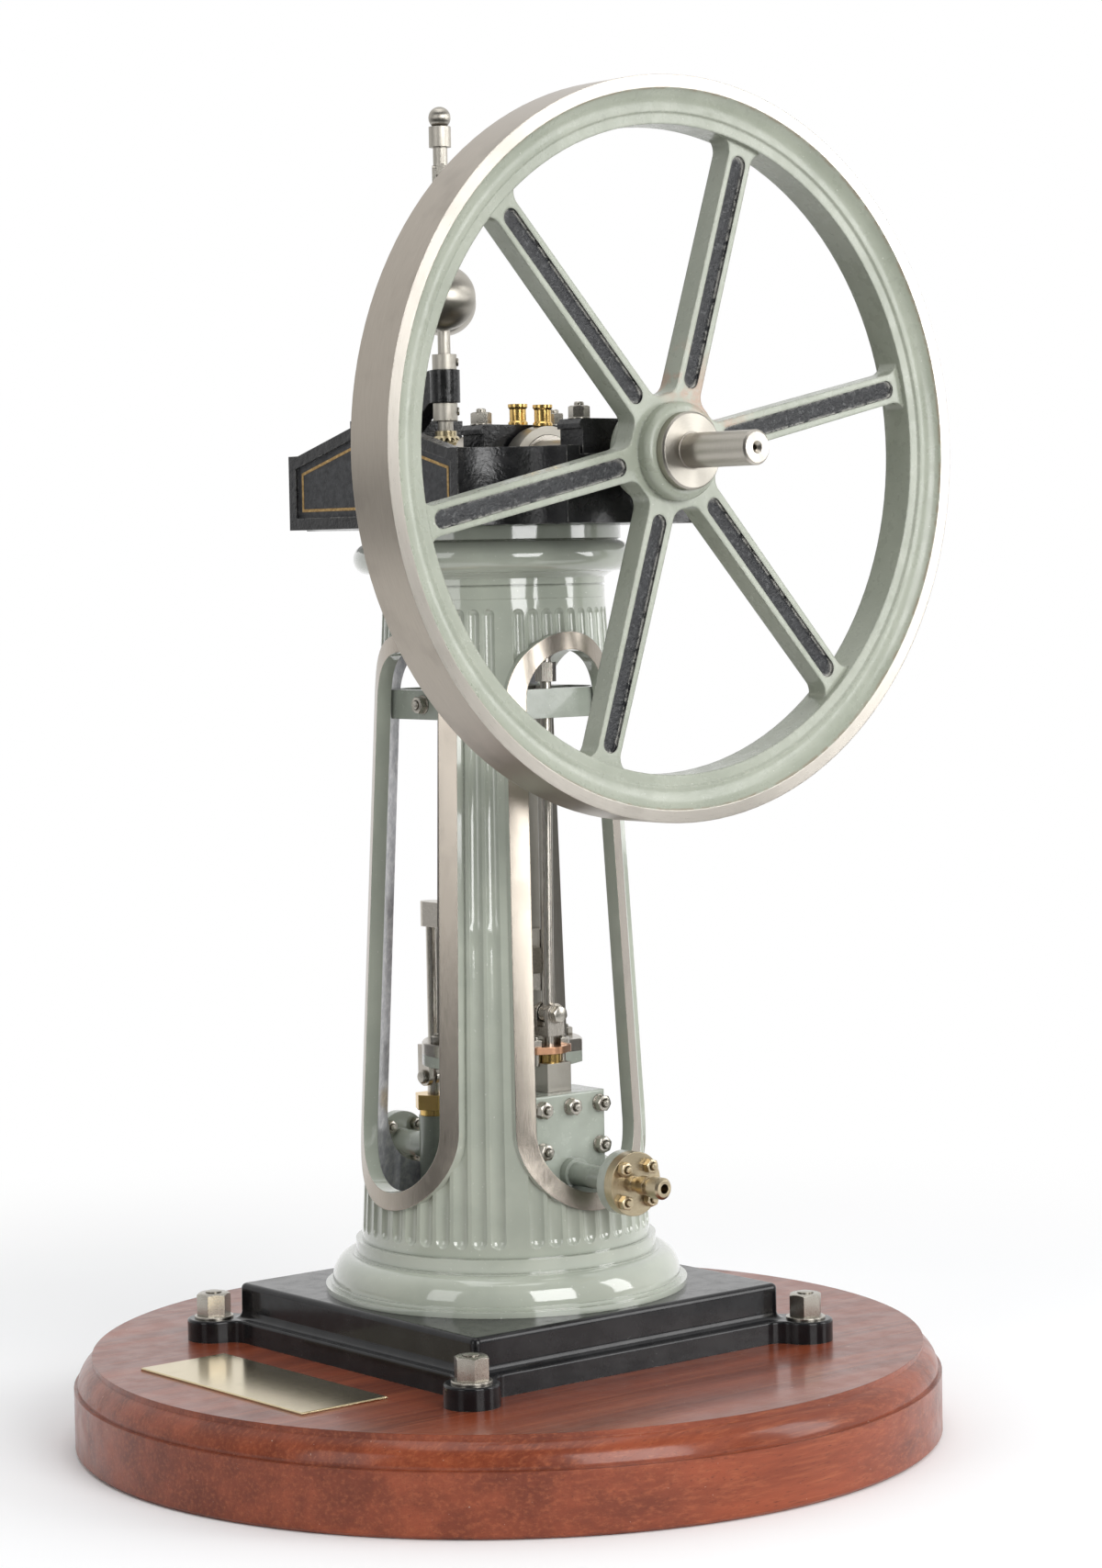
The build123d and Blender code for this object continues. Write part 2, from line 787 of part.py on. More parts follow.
with BuildPart() as strap_oil_cup:
    seat = Plane((sheave_x, valve_y, sheave_z + strap_r), x_dir=(1, 0, 0), z_dir=(0, -1, 0))
    revolve(outline(seat, *cup_outline), axis=Axis(seat.origin, (0, 0, 1)))
    with BuildSketch(facing(valve_y)):
        with Locations((sheave_x, sheave_z)):
            Circle(strap_r)
    extrude(amount=strap_w / 2, both=True, mode=Mode.SUBTRACT)
strap_oil_cup.part.label = "strap_oil_cup"
export_step(strap_oil_cup.part, "parts/strap_oil_cup.step")

with BuildPart() as eccentric_rod:
    rod_start = strap_r + 0.8 * strap_ear
    rod_top = Vector(sheave_x, valve_y, sheave_z) + rod_way * rod_start
    top_plane = Plane(rod_top, x_dir=(0, 1, 0), z_dir=rod_way)
    with BuildSketch(top_plane):
        Circle(ecc_rod_r)
    extrude(amount=rod_reach - rod_start - eye_r / 2)
    with BuildSketch(top_plane.offset(rod_reach - rod_start - adjuster_rise)):
        RegularPolygon(adjuster_af / 2, 6, major_radius=False)
    extrude(amount=-adjuster_h)
    with BuildSketch(facing(valve_y)):
        with Locations((0, z_fork_pin)):
            Circle(eye_r)
    extrude(amount=eye_t / 2, both=True)
eccentric_rod.part.label = "eccentric_rod"
export_step(eccentric_rod.part, "parts/eccentric_rod.step")

# Cylinder and its cover, flat on the side of the steam chest
flange_flat = valve_y + stuffing_half + flat_clear
with BuildPart() as cylinder:
    flange_under = z_cover - cylinder_flange_t
    revolve(
        outline(
            Plane.XZ,
            (0, z_deck),
            (cylinder_flange_r, z_deck),
            (cylinder_flange_r, z_deck + cylinder_flange_t),
            (cylinder_r, z_deck + cylinder_flange_t + 1),
            (cylinder_r, flange_under - 1),
            (cylinder_flange_r, flange_under),
            (cylinder_flange_r, z_cover),
            (0, z_cover),
        ),
        axis=Axis.Z,
    )
    split(bisect_by=facing(flange_flat), keep=Keep.BOTTOM)
cylinder.part.label = "cylinder"
export_step(cylinder.part, "parts/cylinder.step")

with BuildPart() as cylinder_cover:
    revolve(
        outline(
            Plane.XZ,
            (piston_rod_r + run_clear, z_cover),
            (cylinder_flange_r, z_cover),
            (cylinder_flange_r, z_head - 0.4),
            (cylinder_flange_r - 0.4, z_head),
            (gland_boss_r, z_head),
            (gland_boss_r, z_head + gland_boss_h),
            (piston_rod_r + run_clear, z_head + gland_boss_h),
        ),
        axis=Axis.Z,
    )
    split(bisect_by=facing(flange_flat), keep=Keep.BOTTOM)
cylinder_cover.part.label = "cylinder_cover"
export_step(cylinder_cover.part, "parts/cylinder_cover.step")

# Steam chest on the front of the cylinder, with its cover, stuffing box, gland and valve spindle
chest_front = valve_y - chest_reach
chest_face = chest_front - chest_cover_t
with BuildPart() as steam_chest:
    with BuildSketch(Plane.XY.offset(z_chest)):
        with Locations((0, (chest_front + flange_flat) / 2)):
            Rectangle(2 * chest_half, flange_flat - chest_front)
    extrude(amount=chest_h)
steam_chest.part.label = "steam_chest"
export_step(steam_chest.part, "parts/steam_chest.step")

with BuildPart() as steam_chest_cover:
    with BuildSketch(facing(chest_front)):
        with Locations((0, z_chest + chest_h / 2)):
            Rectangle(2 * chest_half, chest_h)
    extrude(amount=chest_cover_t)
    fillet(steam_chest_cover.faces().sort_by(Axis.Y)[0].edges(), radius=0.5)
steam_chest_cover.part.label = "steam_chest_cover"
export_step(steam_chest_cover.part, "parts/steam_chest_cover.step")

with BuildPart() as stuffing_box:
    with BuildSketch(Plane.XY.offset(z_chest_top)):
        with Locations((0, valve_y)):
            Rectangle(2 * stuffing_half, 2 * stuffing_half)
            Circle(spindle_r + run_clear, mode=Mode.SUBTRACT)
    extrude(amount=stuffing_h)
    upright_edges = stuffing_box.edges().filter_by(Axis.Z).filter_by(lambda e: abs(e.center().X) > spindle_r + 1)
    fillet(upright_edges, radius=0.4)
stuffing_box.part.label = "stuffing_box"
export_step(stuffing_box.part, "parts/stuffing_box.step")

with BuildPart() as valve_gland:
    with BuildSketch(Plane.XY.offset(z_gland - valve_gland_gap)):
        with Locations((0, valve_y)):
            Circle(gland_sleeve_r)
            Circle(spindle_r + run_clear, mode=Mode.SUBTRACT)
    extrude(amount=valve_gland_gap)
    with BuildSketch(Plane.XY.offset(z_gland)):
        with Locations((0, valve_y)):
            Circle(valve_gland_r)
        with Locations((-valve_stud_pitch / 2, valve_y), (valve_stud_pitch / 2, valve_y)):
            Circle(valve_stud_boss_r)
        make_hull()
        with Locations((0, valve_y)):
            Circle(spindle_r + run_clear, mode=Mode.SUBTRACT)
    extrude(amount=valve_gland_t)
valve_gland.part.label = "valve_gland"
export_step(valve_gland.part, "parts/valve_gland.step")

with BuildPart() as valve_spindle:
    fork_floor = z_fork_pin - eye_r - (eccentricity - sheave_drop) - fork_room
    fork_depth = fork_gap / 2 + fork_ear_t
    with BuildSketch(Plane.XY.offset(z_chest_top)):
        with Locations((0, valve_y)):
            Circle(spindle_r)
    extrude(amount=fork_floor - fork_base_t - z_chest_top)
    with BuildSketch(facing(valve_y)):
        with Locations((0, z_fork_pin)):
            Circle(fork_half)
        with Locations((0, (z_fork_pin + fork_floor - fork_base_t) / 2)):
            Rectangle(2 * fork_half, z_fork_pin - fork_floor + fork_base_t)
    extrude(amount=fork_depth, both=True)
    with BuildSketch(facing(valve_y)):
        with Locations((0, fork_floor + 2 * eccentricity)):
            Rectangle(6 * fork_half, 4 * eccentricity)
    extrude(amount=fork_gap / 2, both=True, mode=Mode.SUBTRACT)
valve_spindle.part.label = "valve_spindle"
export_step(valve_spindle.part, "parts/valve_spindle.step")

# Steam inlet through the front window: pipe with a flange, then the union with its stepped nipple
z_inlet = z_chest + inlet_rise
flange_back = chest_face - inlet_reach + inlet_flange_t
union_face = chest_face - inlet_reach - inlet_flange_t
inlet_line = Axis((0, 0, z_inlet), (0, 1, 0))
inlet_plane = Plane((0, 0, z_inlet), x_dir=(0, 1, 0), z_dir=(1, 0, 0))
with BuildPart() as steam_inlet:
    revolve(
        outline(
            inlet_plane,
            (chest_face, 0),
            (chest_face, inlet_collar_r),
            (chest_face - inlet_collar_t, inlet_collar_r),
            (chest_face - inlet_collar_t, inlet_r),
            (flange_back, inlet_r),
            (flange_back, inlet_flange_r),
            (chest_face - inlet_reach, inlet_flange_r),
            (chest_face - inlet_reach, 0),
        ),
        axis=inlet_line,
    )
steam_inlet.part.label = "steam_inlet"
export_step(steam_inlet.part, "parts/steam_inlet.step")

with BuildPart() as inlet_union:
    revolve(
        outline(
            inlet_plane,
            (chest_face - inlet_reach, 0),
            (chest_face - inlet_reach, inlet_flange_r),
            (union_face, inlet_flange_r),
            (union_face, nipple_neck_r),
            (union_face - 0.2 * nipple_len, nipple_neck_r),
            (union_face - 0.2 * nipple_len, nipple_ring_r),
            (union_face - 0.45 * nipple_len, nipple_ring_r),
            (union_face - 0.45 * nipple_len, nipple_neck_r),
            (union_face - 0.62 * nipple_len, nipple_neck_r),
            (union_face - 0.62 * nipple_len, nipple_end_r),
            (union_face - 0.94 * nipple_len, nipple_end_r),
            (union_face - nipple_len, nipple_end_r - 0.06 * nipple_len),
            (union_face - nipple_len, nipple_bore_r),
            (union_face - 0.4 * nipple_len, nipple_bore_r),
            (union_face - 0.4 * nipple_len, 0),
        ),
        axis=inlet_line,
    )
inlet_union.part.label = "inlet_union"
export_step(inlet_union.part, "parts/inlet_union.step")

# Feed pump behind the cylinder, worked from an arm of the crosshead
with BuildPart() as feed_pump:
    upright = Plane((0, pump_y, 0), x_dir=(1, 0, 0), z_dir=(0, -1, 0))
    revolve(
        outline(
            upright,
            (0, z_deck),
            (pump_foot_r, z_deck),
            (pump_foot_r, z_deck + pump_foot_h),
            (pump_r, z_deck + pump_foot_h + 1.5),
            (pump_r, z_pump_nut),
            (plunger_r + run_clear, z_pump_nut),
            (plunger_r + run_clear, z_pump_nut - plunger_depth),
            (0, z_pump_nut - plunger_depth),
        ),
        axis=Axis(upright.origin, (0, 0, 1)),
    )
    with BuildSketch(facing(pump_y)):
        with Locations((0, z_deck + pump_branch_rise)):
            Circle(pump_branch_r)
    extrude(amount=pump_y - pump_flange_y)
    with BuildSketch(facing(pump_flange_y)):
        with Locations((0, z_deck + pump_branch_rise)):
            Circle(inlet_flange_r)
    extrude(amount=-inlet_flange_t)
feed_pump.part.label = "feed_pump"
export_step(feed_pump.part, "parts/feed_pump.step")

with BuildPart() as pump_gland_nut:
    with BuildSketch(Plane.XY.offset(z_pump_nut)):
        with Locations((0, pump_y)):
            Circle(0.42 * pump_nut_af)
    extrude(amount=pump_nut_neck)
    with BuildSketch(Plane.XY.offset(z_pump_nut + pump_nut_neck)):
        with Locations((0, pump_y)):
            RegularPolygon(pump_nut_af / 2, 6, major_radius=False)
    extrude(amount=pump_nut_h - pump_nut_neck)
    with BuildSketch(Plane.XY.offset(z_pump_nut)):
        with Locations((0, pump_y)):
            Circle(plunger_r + run_clear)
    extrude(amount=pump_nut_h, mode=Mode.SUBTRACT)
pump_gland_nut.part.label = "pump_gland_nut"
export_step(pump_gland_nut.part, "parts/pump_gland_nut.step")

with BuildPart() as pump_plunger:
    with BuildSketch(Plane.XY.offset(z_pump_nut - plunger_depth)):
        with Locations((0, pump_y)):
            Circle(plunger_r)
    extrude(amount=z_pump_eye - z_pump_nut + plunger_depth)
    with BuildSketch(Plane.YZ):
        with Locations((pump_y, z_pump_eye)):
            Circle(1.3 * plunger_r)
    extrude(amount=plunger_r / 2, both=True)
pump_plunger.part.label = "pump_plunger"
export_step(pump_plunger.part, "parts/pump_plunger.step")

z_arm = z_wrist - arm_h / 2
with BuildPart() as pump_rod:
    ear_in = plunger_r + 0.2
    fork_top = z_pump_eye + pump_fork_len
    with BuildSketch(Plane.YZ):
        with Locations((pump_y, z_pump_eye)):
            Circle(1.3 * plunger_r)
        with Locations((pump_y, (z_pump_eye + fork_top) / 2)):
            Rectangle(2.6 * plunger_r, pump_fork_len)
    extrude(amount=ear_in + fork_ear_t, both=True)
    with BuildSketch(Plane.YZ):
        with Locations((pump_y, fork_top - fork_base_t - 2 * pump_fork_len)):
            Rectangle(4 * plunger_r, 4 * pump_fork_len)
    extrude(amount=ear_in, both=True, mode=Mode.SUBTRACT)
    with BuildSketch(Plane.XY.offset(fork_top)):
        with Locations((0, pump_y)):
            Circle(0.8 * plunger_r)
    extrude(amount=z_arm - fork_top)
pump_rod.part.label = "pump_rod"
export_step(pump_rod.part, "parts/pump_rod.step")

# Guide frame: flat across the windows, bedded by its round corners in the column, with a block on each
# side that holds the tops of two guide bars, which stand on the cylinder cover
frame_r = column_radius(z_frame) - column_wall - frame_clear
frame_half = frame_r - frame_set
block_x = (frame_half - frame_t / 2 + guide_out) / 2
guide_in = guide_slot / 2


def frame_loop(inset):
    """Square with its corners cut to the round of the column's bore."""
    with BuildSketch(Plane.XY.offset(z_frame - frame_h)) as face:
        Rectangle(2 * (frame_half - inset), 2 * (frame_half - inset))
        Circle(frame_r - inset, mode=Mode.INTERSECT)
    return face.sketch


with BuildPart() as guide_frame:
    extrude(frame_loop(0), amount=frame_h)
    extrude(frame_loop(frame_t), amount=frame_h, mode=Mode.SUBTRACT)
    with BuildSketch(Plane.XY.offset(z_frame - frame_h)):
        with Locations((-block_x, 0), (block_x, 0)):
            Rectangle(frame_half - frame_t / 2 - guide_out, 2 * (guide_in + guide_w_top))
    extrude(amount=frame_h)
guide_frame.part.label = "guide_frame"
export_step(guide_frame.part, "parts/guide_frame.step")

guide_places = (("left_front", -1, -1), ("left_rear", -1, 1), ("right_front", 1, -1), ("right_rear", 1, 1))
for name, sx, sy in guide_places:
    with BuildPart() as guide_bar:
        bar = outline(
            Plane.YZ.offset(sx * guide_out),
            (sy * guide_in, z_head),
            (sy * (guide_in + guide_w_low), z_head),
            (sy * (guide_in + guide_w_top), z_frame),
            (sy * guide_in, z_frame),
        )
        extrude(bar, amount=-sx * guide_t)
    guide_bar.part.label = f"{name}_guide_bar"
    export_step(guide_bar.part, f"parts/{name}_guide_bar.step")

# Piston rod, crosshead with its slippers and pump arm, and the connecting rod
z_hub = z_wrist - wrist_r - cheek_t
with BuildPart() as piston_rod:
    with BuildSketch(Plane.XY.offset(z_cover)):
        Circle(piston_rod_r)
    extrude(amount=z_hub - arm_h - z_cover)
piston_rod.part.label = "piston_rod"
export_step(piston_rod.part, "parts/piston_rod.step")

with BuildPart() as crosshead:
    pad_half = guide_in - pad_clear
    with BuildSketch(Plane.XY.offset(z_hub - arm_h)):
        Circle(wrist_gap / 2 + cheek_t)
        Rectangle(2 * (guide_out - guide_t - pad_clear), 2 * cheek_t)
    extrude(amount=arm_h)
    with BuildSketch(facing(0)):
        with Locations((0, z_wrist)):
            Circle(wrist_r)
        with Locations((0, (z_wrist + z_hub) / 2)):
            Rectangle(2 * wrist_r, z_wrist - z_hub)
    extrude(amount=wrist_gap / 2 + cheek_t, both=True)
    with BuildSketch(facing(0)):
        with Locations((0, z_hub + 2 * wrist_r + cheek_t / 2)):
            Rectangle(4 * wrist_r, 4 * wrist_r)
    extrude(amount=wrist_gap / 2, both=True, mode=Mode.SUBTRACT)
    with BuildSketch(Plane.XY.offset(z_hub - arm_h / 2 - pad_h / 2)):
        for side in (-1, 1):
            with Locations((side * (guide_out - (guide_t + pad_clear) / 2), 0)):
                Rectangle(guide_t + pad_clear, 2 * pad_half)
    extrude(amount=pad_h)
    with BuildSketch(Plane.XY.offset(z_arm)):
        with Locations((0, (wrist_gap / 2 + pump_y) / 2)):
            Rectangle(2 * cheek_t, pump_y - wrist_gap / 2)
        with Locations((0, pump_y)):
            Circle(cheek_t)
    extrude(amount=arm_h)
crosshead.part.label = "crosshead"
export_step(crosshead.part, "parts/crosshead.step")

with BuildPart() as connecting_rod:
    rod_half = wrist_gap / 2 - 0.2
    with BuildSketch(facing(0)):
        with Locations((0, z_wrist)):
            Circle(wrist_r - 0.8)
    extrude(amount=rod_half, both=True)
    z_mid = (z_wrist + z_palm) / 2
    revolve(
        outline(
            Plane.XZ,
            (0, z_wrist),
            (shank_low_r, z_wrist),
            (shank_mid_r, z_mid),
            (shank_low_r, z_palm - palm_h / 2),
            (0, z_palm - palm_h / 2),
        ),
        axis=Axis.Z,
    )
    with BuildSketch(Plane.XY.offset(z_palm - palm_h)):
        Rectangle(2 * palm_half, 2 * rod_half)
    extrude(amount=palm_h)
connecting_rod.part.label = "connecting_rod"
export_step(connecting_rod.part, "parts/connecting_rod.step")


# Governor drive: a pair of bevel gears whose pitch cones meet where the two shafts cross
def bevel_gear(teeth, mate, hub_r, hub_h, bore, phase):
    """Straight bevel gear on Z with its cone point at the origin and its teeth facing down to it."""
    r = gear_module * teeth / 2
    h = gear_module * mate / 2
    reach = hypot(r, h)
    lean = degrees(atan2(r, h))
    short = 1 - gear_face / reach
    addendum, dedendum = gear_module, 1.25 * gear_module
    nr, nz = h / reach, -r / reach
    tip = (r + addendum * nr, h + addendum * nz)
    half_gap = pi * gear_module / 4 + gear_backlash / 2
    with BuildPart() as gap:
        for scale in (short - 0.2, 1.25):
            wide = scale * (half_gap + 1.6 * addendum * tan(radians(20)))
            narrow = scale * (half_gap - dedendum * tan(radians(20)))
            along = Plane(
                (scale * r, 0, scale * h),
                x_dir=(0, 1, 0),
                z_dir=(sin(radians(lean)), 0, cos(radians(lean))),
            )
            with BuildSketch(along):
                with BuildLine():
                    Polyline(
                        (-narrow, scale * dedendum),
                        (narrow, scale * dedendum),
                        (wide, -1.6 * scale * addendum),
                        (-wide, -1.6 * scale * addendum),
                        close=True,
                    )
                make_face()
        loft()
    with BuildPart() as gear:
        back = h + 0.5 * gear_face
        with BuildSketch(Plane.XZ):
            with BuildLine():
                Polyline(
                    (bore, short * tip[1]),
                    (short * tip[0], short * tip[1]),
                    tip,
                    (r - 1.6 * dedendum * nr, back),
                    (hub_r, back),
                    (hub_r, back + hub_h),
                    (bore, back + hub_h),
                    close=True,
                )
            make_face()
        revolve(axis=Axis.Z)
        with PolarLocations(0, teeth, start_angle=phase):
            add(gap.part, mode=Mode.SUBTRACT)
    return gear.part


wheel_gear = bevel_gear(wheel_teeth, pinion_teeth, gear_hub_r, gear_hub_h, shaft_rear_r, 90)
with BuildPart() as bevel_wheel:
    with Locations(Location((0, governor_y, z_axis), (90, 0, 0))):
        add(wheel_gear)
bevel_wheel.part.label = "bevel_wheel"
export_step(bevel_wheel.part, "parts/bevel_wheel.step")

pinion_gear = bevel_gear(
    pinion_teeth, wheel_teeth, pinion_hub_r, pinion_hub_h, spindle_gov_r, 180 / pinion_teeth - 90
)
with BuildPart() as bevel_pinion:
    with Locations((0, governor_y, z_axis)):
        add(pinion_gear)
bevel_pinion.part.label = "bevel_pinion"
export_step(bevel_pinion.part, "parts/bevel_pinion.step")

# Governor bracket on the rear bearing cap, spindle with its collars and head, and two fly balls
z_collar = z_axis + gov_collar_rise
z_boss = z_collar + gov_collar_h + run_clear
z_top_collar = z_boss + boss_h + run_clear
z_pivot = z_axis + gov_pivot_rise
z_bearing_top = z_axis + bearing_cap_h
with BuildPart() as governor_bracket:
    with BuildSketch(Plane.XY.offset(z_bearing_top)):
        with Locations((0, bearing_rear_y)):
            Rectangle(2 * bearing_half, bearing_t)
    extrude(amount=bracket_foot_t)
    web = outline(
        Plane.YZ,
        (bearing_rear_y + bearing_t / 2, z_bearing_top),
        (bearing_rear_y + bearing_t / 2, z_bearing_top + 2 * bracket_foot_t),
        (bearing_rear_y - bearing_t / 2, z_boss + 0.6 * boss_h),
        (governor_y + boss_r, z_boss + boss_h),
        (governor_y, z_boss + boss_h),
        (governor_y, z_boss),
        (governor_y + boss_r, z_boss),
        (bearing_rear_y - bearing_t / 2, z_bearing_top),
    )
    extrude(web, amount=bracket_t / 2, both=True)
    with BuildSketch(Plane.XY.offset(z_boss)):
        with Locations((0, governor_y)):
            Circle(boss_r)
    extrude(amount=boss_h)
    with BuildSketch(Plane.XY.offset(z_boss)):
        with Locations((0, governor_y)):
            Circle(spindle_gov_r + run_clear)
    extrude(amount=boss_h, mode=Mode.SUBTRACT)
governor_bracket.part.label = "governor_bracket"
export_step(governor_bracket.part, "parts/governor_bracket.step")

upright = Plane((0, governor_y, 0), x_dir=(1, 0, 0), z_dir=(0, -1, 0))
with BuildPart() as governor_spindle:
    pinion_low = z_axis + (1 - gear_face / hypot(wheel_teeth, pinion_teeth) * 2 / gear_module) * (
        gear_module * wheel_teeth / 2
    )
    z_pinion_top = z_axis + gear_module * wheel_teeth / 2 + 0.5 * gear_face + pinion_hub_h
    z_neck = z_pivot + gov_head_half
    z_top = z_neck + gov_neck_h
    ball_low = z_top + gov_cap_h
    with BuildSketch(upright):
        with BuildLine():
            Polyline(
                (0, pinion_low),
                (spindle_gov_r, pinion_low),
                (spindle_gov_r, z_pinion_top),
                (gov_neck_r + 0.1, z_pinion_top),
                (gov_neck_r + 0.1, z_collar),
                (gov_collar_r, z_collar),
                (gov_collar_r, z_collar + gov_collar_h),
                (spindle_gov_r, z_collar + gov_collar_h),
                (spindle_gov_r, z_top_collar),
                (gov_collar_r, z_top_collar),
                (gov_collar_r, z_top_collar + gov_top_collar_h),
                (spindle_gov_r, z_top_collar + gov_top_collar_h),
                (spindle_gov_r, z_neck),
                (gov_neck_r, z_neck),
                (gov_neck_r, z_top),
                (gov_cap_r, z_top),
                (gov_cap_r, ball_low),
                (0.6 * gov_cap_r, ball_low),
            )
            ThreePointArc(
                (0.6 * gov_cap_r, ball_low),
                (gov_cap_r, ball_low + 0.8 * gov_cap_r),
                (0, ball_low + 1.8 * gov_cap_r),
            )
            Line((0, ball_low + 1.8 * gov_cap_r), (0, pinion_low))
        make_face()
    revolve(axis=Axis(upright.origin, (0, 0, 1)))
    head = Plane((0, governor_y, z_pivot), x_dir=(cos(radians(gov_turn)), sin(radians(gov_turn)), 0))
    with BuildSketch(head):
        Rectangle(2 * gov_pivot_off + 2 * gov_arm_r, 2 * gov_arm_r)
    extrude(amount=gov_tongue_half, both=True)
    with BuildSketch(head):
        Circle(gov_neck_r)
    extrude(amount=gov_head_half, both=True)
governor_spindle.part.label = "governor_spindle"
export_step(governor_spindle.part, "parts/governor_spindle.step")

for name, turn in (("near", gov_turn), ("far", gov_turn + 180)):
    out = Vector(cos(radians(turn)), sin(radians(turn)), 0)
    side = Vector(-sin(radians(turn)), cos(radians(turn)), 0)
    stand = Vector(0, governor_y, 0)
    pivot = stand + out * gov_pivot_off + Vector(0, 0, z_pivot)
    ball = stand + out * gov_ball_out + Vector(0, 0, z_axis + gov_ball_rise)
    swing = (ball - pivot).normalized()
    with BuildPart() as governor_arm:
        hang = Plane(pivot, x_dir=side, z_dir=swing)
        with BuildSketch(hang.offset(2 * gov_arm_r)):
            Circle(gov_arm_r)
        extrude(amount=(ball - pivot).length - 2 * gov_arm_r)
        with Locations(Location(ball)):
            Sphere(gov_ball_r)
        for cheek in (-1, 1):
            start = gov_arm_r + run_clear
            with BuildSketch(Plane(pivot + side * cheek * start, x_dir=swing, z_dir=side * cheek)):
                SlotCenterPoint((1.5 * gov_arm_r, 0), (3 * gov_arm_r, 0), 2 * gov_arm_r)
            extrude(amount=gov_arm_r)
        with BuildSketch(Plane(pivot + swing * 3 * gov_arm_r, x_dir=side, z_dir=swing)):
            Rectangle(4 * gov_arm_r + 2 * run_clear, 2 * gov_arm_r)
        extrude(amount=gov_arm_r)
    governor_arm.part.label = f"{name}_governor_arm"
    export_step(governor_arm.part, f"parts/{name}_governor_arm.step")
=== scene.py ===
import bpy
import bmesh
import math
from mathutils import Matrix, Vector


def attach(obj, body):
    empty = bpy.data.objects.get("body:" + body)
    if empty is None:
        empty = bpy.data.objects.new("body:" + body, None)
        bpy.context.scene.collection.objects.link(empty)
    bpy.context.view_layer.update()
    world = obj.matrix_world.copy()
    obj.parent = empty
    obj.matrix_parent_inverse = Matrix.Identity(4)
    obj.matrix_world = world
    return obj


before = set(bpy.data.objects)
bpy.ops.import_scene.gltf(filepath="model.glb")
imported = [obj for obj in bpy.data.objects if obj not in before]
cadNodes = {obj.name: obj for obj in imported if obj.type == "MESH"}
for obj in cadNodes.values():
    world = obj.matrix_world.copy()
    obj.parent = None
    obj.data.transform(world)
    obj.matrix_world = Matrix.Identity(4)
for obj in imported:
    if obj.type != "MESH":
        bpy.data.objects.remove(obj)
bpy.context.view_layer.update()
print("frame loaded:", len(cadNodes), "nodes")

mm = 0.001  # part drawings are in millimetres, Blender in metres


# small helpers for shader graphs
def put(tree, kind, inputs=None, **settings):
    made = tree.nodes.new(kind)
    for key, value in settings.items():
        setattr(made, key, value)
    for key, value in (inputs or {}).items():
        join(tree, made, key, value)
    return made


def join(tree, node, key, value):  # a link for a socket, or a plain value
    if isinstance(value, bpy.types.NodeSocket):
        tree.links.new(value, node.inputs[key])
    else:
        node.inputs[key].default_value = value


def startFinish(name):
    finish = bpy.data.materials.new(name)
    finish.use_nodes = True
    tree = finish.node_tree
    tree.nodes.clear()
    shader = put(tree, "ShaderNodeBsdfPrincipled")
    put(tree, "ShaderNodeOutputMaterial", {"Surface": shader.outputs[0]})
    return finish, tree, shader


def rgb(r, g, b):
    return (r, g, b, 1.0)


def toned(colour, share):  # the same hue, lighter or darker
    return [min(1.0, c * share) for c in colour[:3]] + [1.0]


def partPoint(tree, stretch=(1, 1, 1)):  # place on the part, in mm
    where = put(tree, "ShaderNodeTexCoord").outputs["Object"]
    return put(tree, "ShaderNodeMapping", {"Vector": where, "Scale": [s / mm for s in stretch]}).outputs[0]


def noise(tree, point, scale, detail=3.0, rough=0.55, twist=0.0):
    return put(
        tree,
        "ShaderNodeTexNoise",
        {"Vector": point, "Scale": scale, "Detail": detail, "Roughness": rough, "Distortion": twist},
    ).outputs[0]


def remap(tree, value, low, high, toLow=0.0, toHigh=1.0):
    return put(
        tree,
        "ShaderNodeMapRange",
        {"Value": value, "From Min": low, "From Max": high, "To Min": toLow, "To Max": toHigh},
        interpolation_type="SMOOTHSTEP",
    ).outputs[0]


def calc(tree, operation, a, b=0.0):
    return put(tree, "ShaderNodeMath", {0: a, 1: b}, operation=operation).outputs[0]


def times(tree, a, b):
    return calc(tree, "MULTIPLY", a, b)


def larger(tree, a, b):
    return calc(tree, "MAXIMUM", a, b)


def vector(tree, operation, a, b=(0, 0, 0)):
    return put(tree, "ShaderNodeVectorMath", {0: a, 1: b}, operation=operation).outputs


def tint(tree, share, first, second):
    return put(tree, "ShaderNodeMix", {0: share, 6: first, 7: second}, data_type="RGBA").outputs[2]


def softEdge(tree, radius):
    return put(tree, "ShaderNodeBevel", {"Radius": radius * mm}, samples=4).outputs[0]


def edgeShare(tree, rounded, start=0.97, full=0.82):  # 1 on sharp edges, 0 on flats
    flat = put(tree, "ShaderNodeNewGeometry").outputs["Normal"]
    return remap(tree, vector(tree, "DOT_PRODUCT", rounded, flat)["Value"], start, full)


def crevice(tree, reach):  # 1 in corners, 0 in the open
    share = put(tree, "ShaderNodeAmbientOcclusion", {"Distance": reach * mm}, samples=4).outputs["AO"]
    return remap(tree, share, 0.75, 0.25)


def relief(tree, height, strength, distance, normal):
    return put(
        tree,
        "ShaderNodeBump",
        {"Height": height, "Strength": strength, "Distance": distance * mm, "Normal": normal},
    ).outputs[0]


def fromCentre(tree, turned):
    where = put(tree, "ShaderNodeTexCoord").outputs["Object"]
    return vector(tree, "SUBTRACT", where, [c * mm for c in turned["centre"]])[0]


def turnedPlace(tree, turned):  # distance from the axis, place along it, angle round it
    x, y, z = put(tree, "ShaderNodeSeparateXYZ", {0: fromCentre(tree, turned)}).outputs
    across, along = (y, z) if turned.get("alongZ") else (z, y)
    squares = calc(tree, "ADD", times(tree, x, x), times(tree, across, across))
    radius = times(tree, calc(tree, "SQRT", squares), 1 / mm)
    return radius, times(tree, along, 1 / mm), calc(tree, "ARCTAN2", x, across)


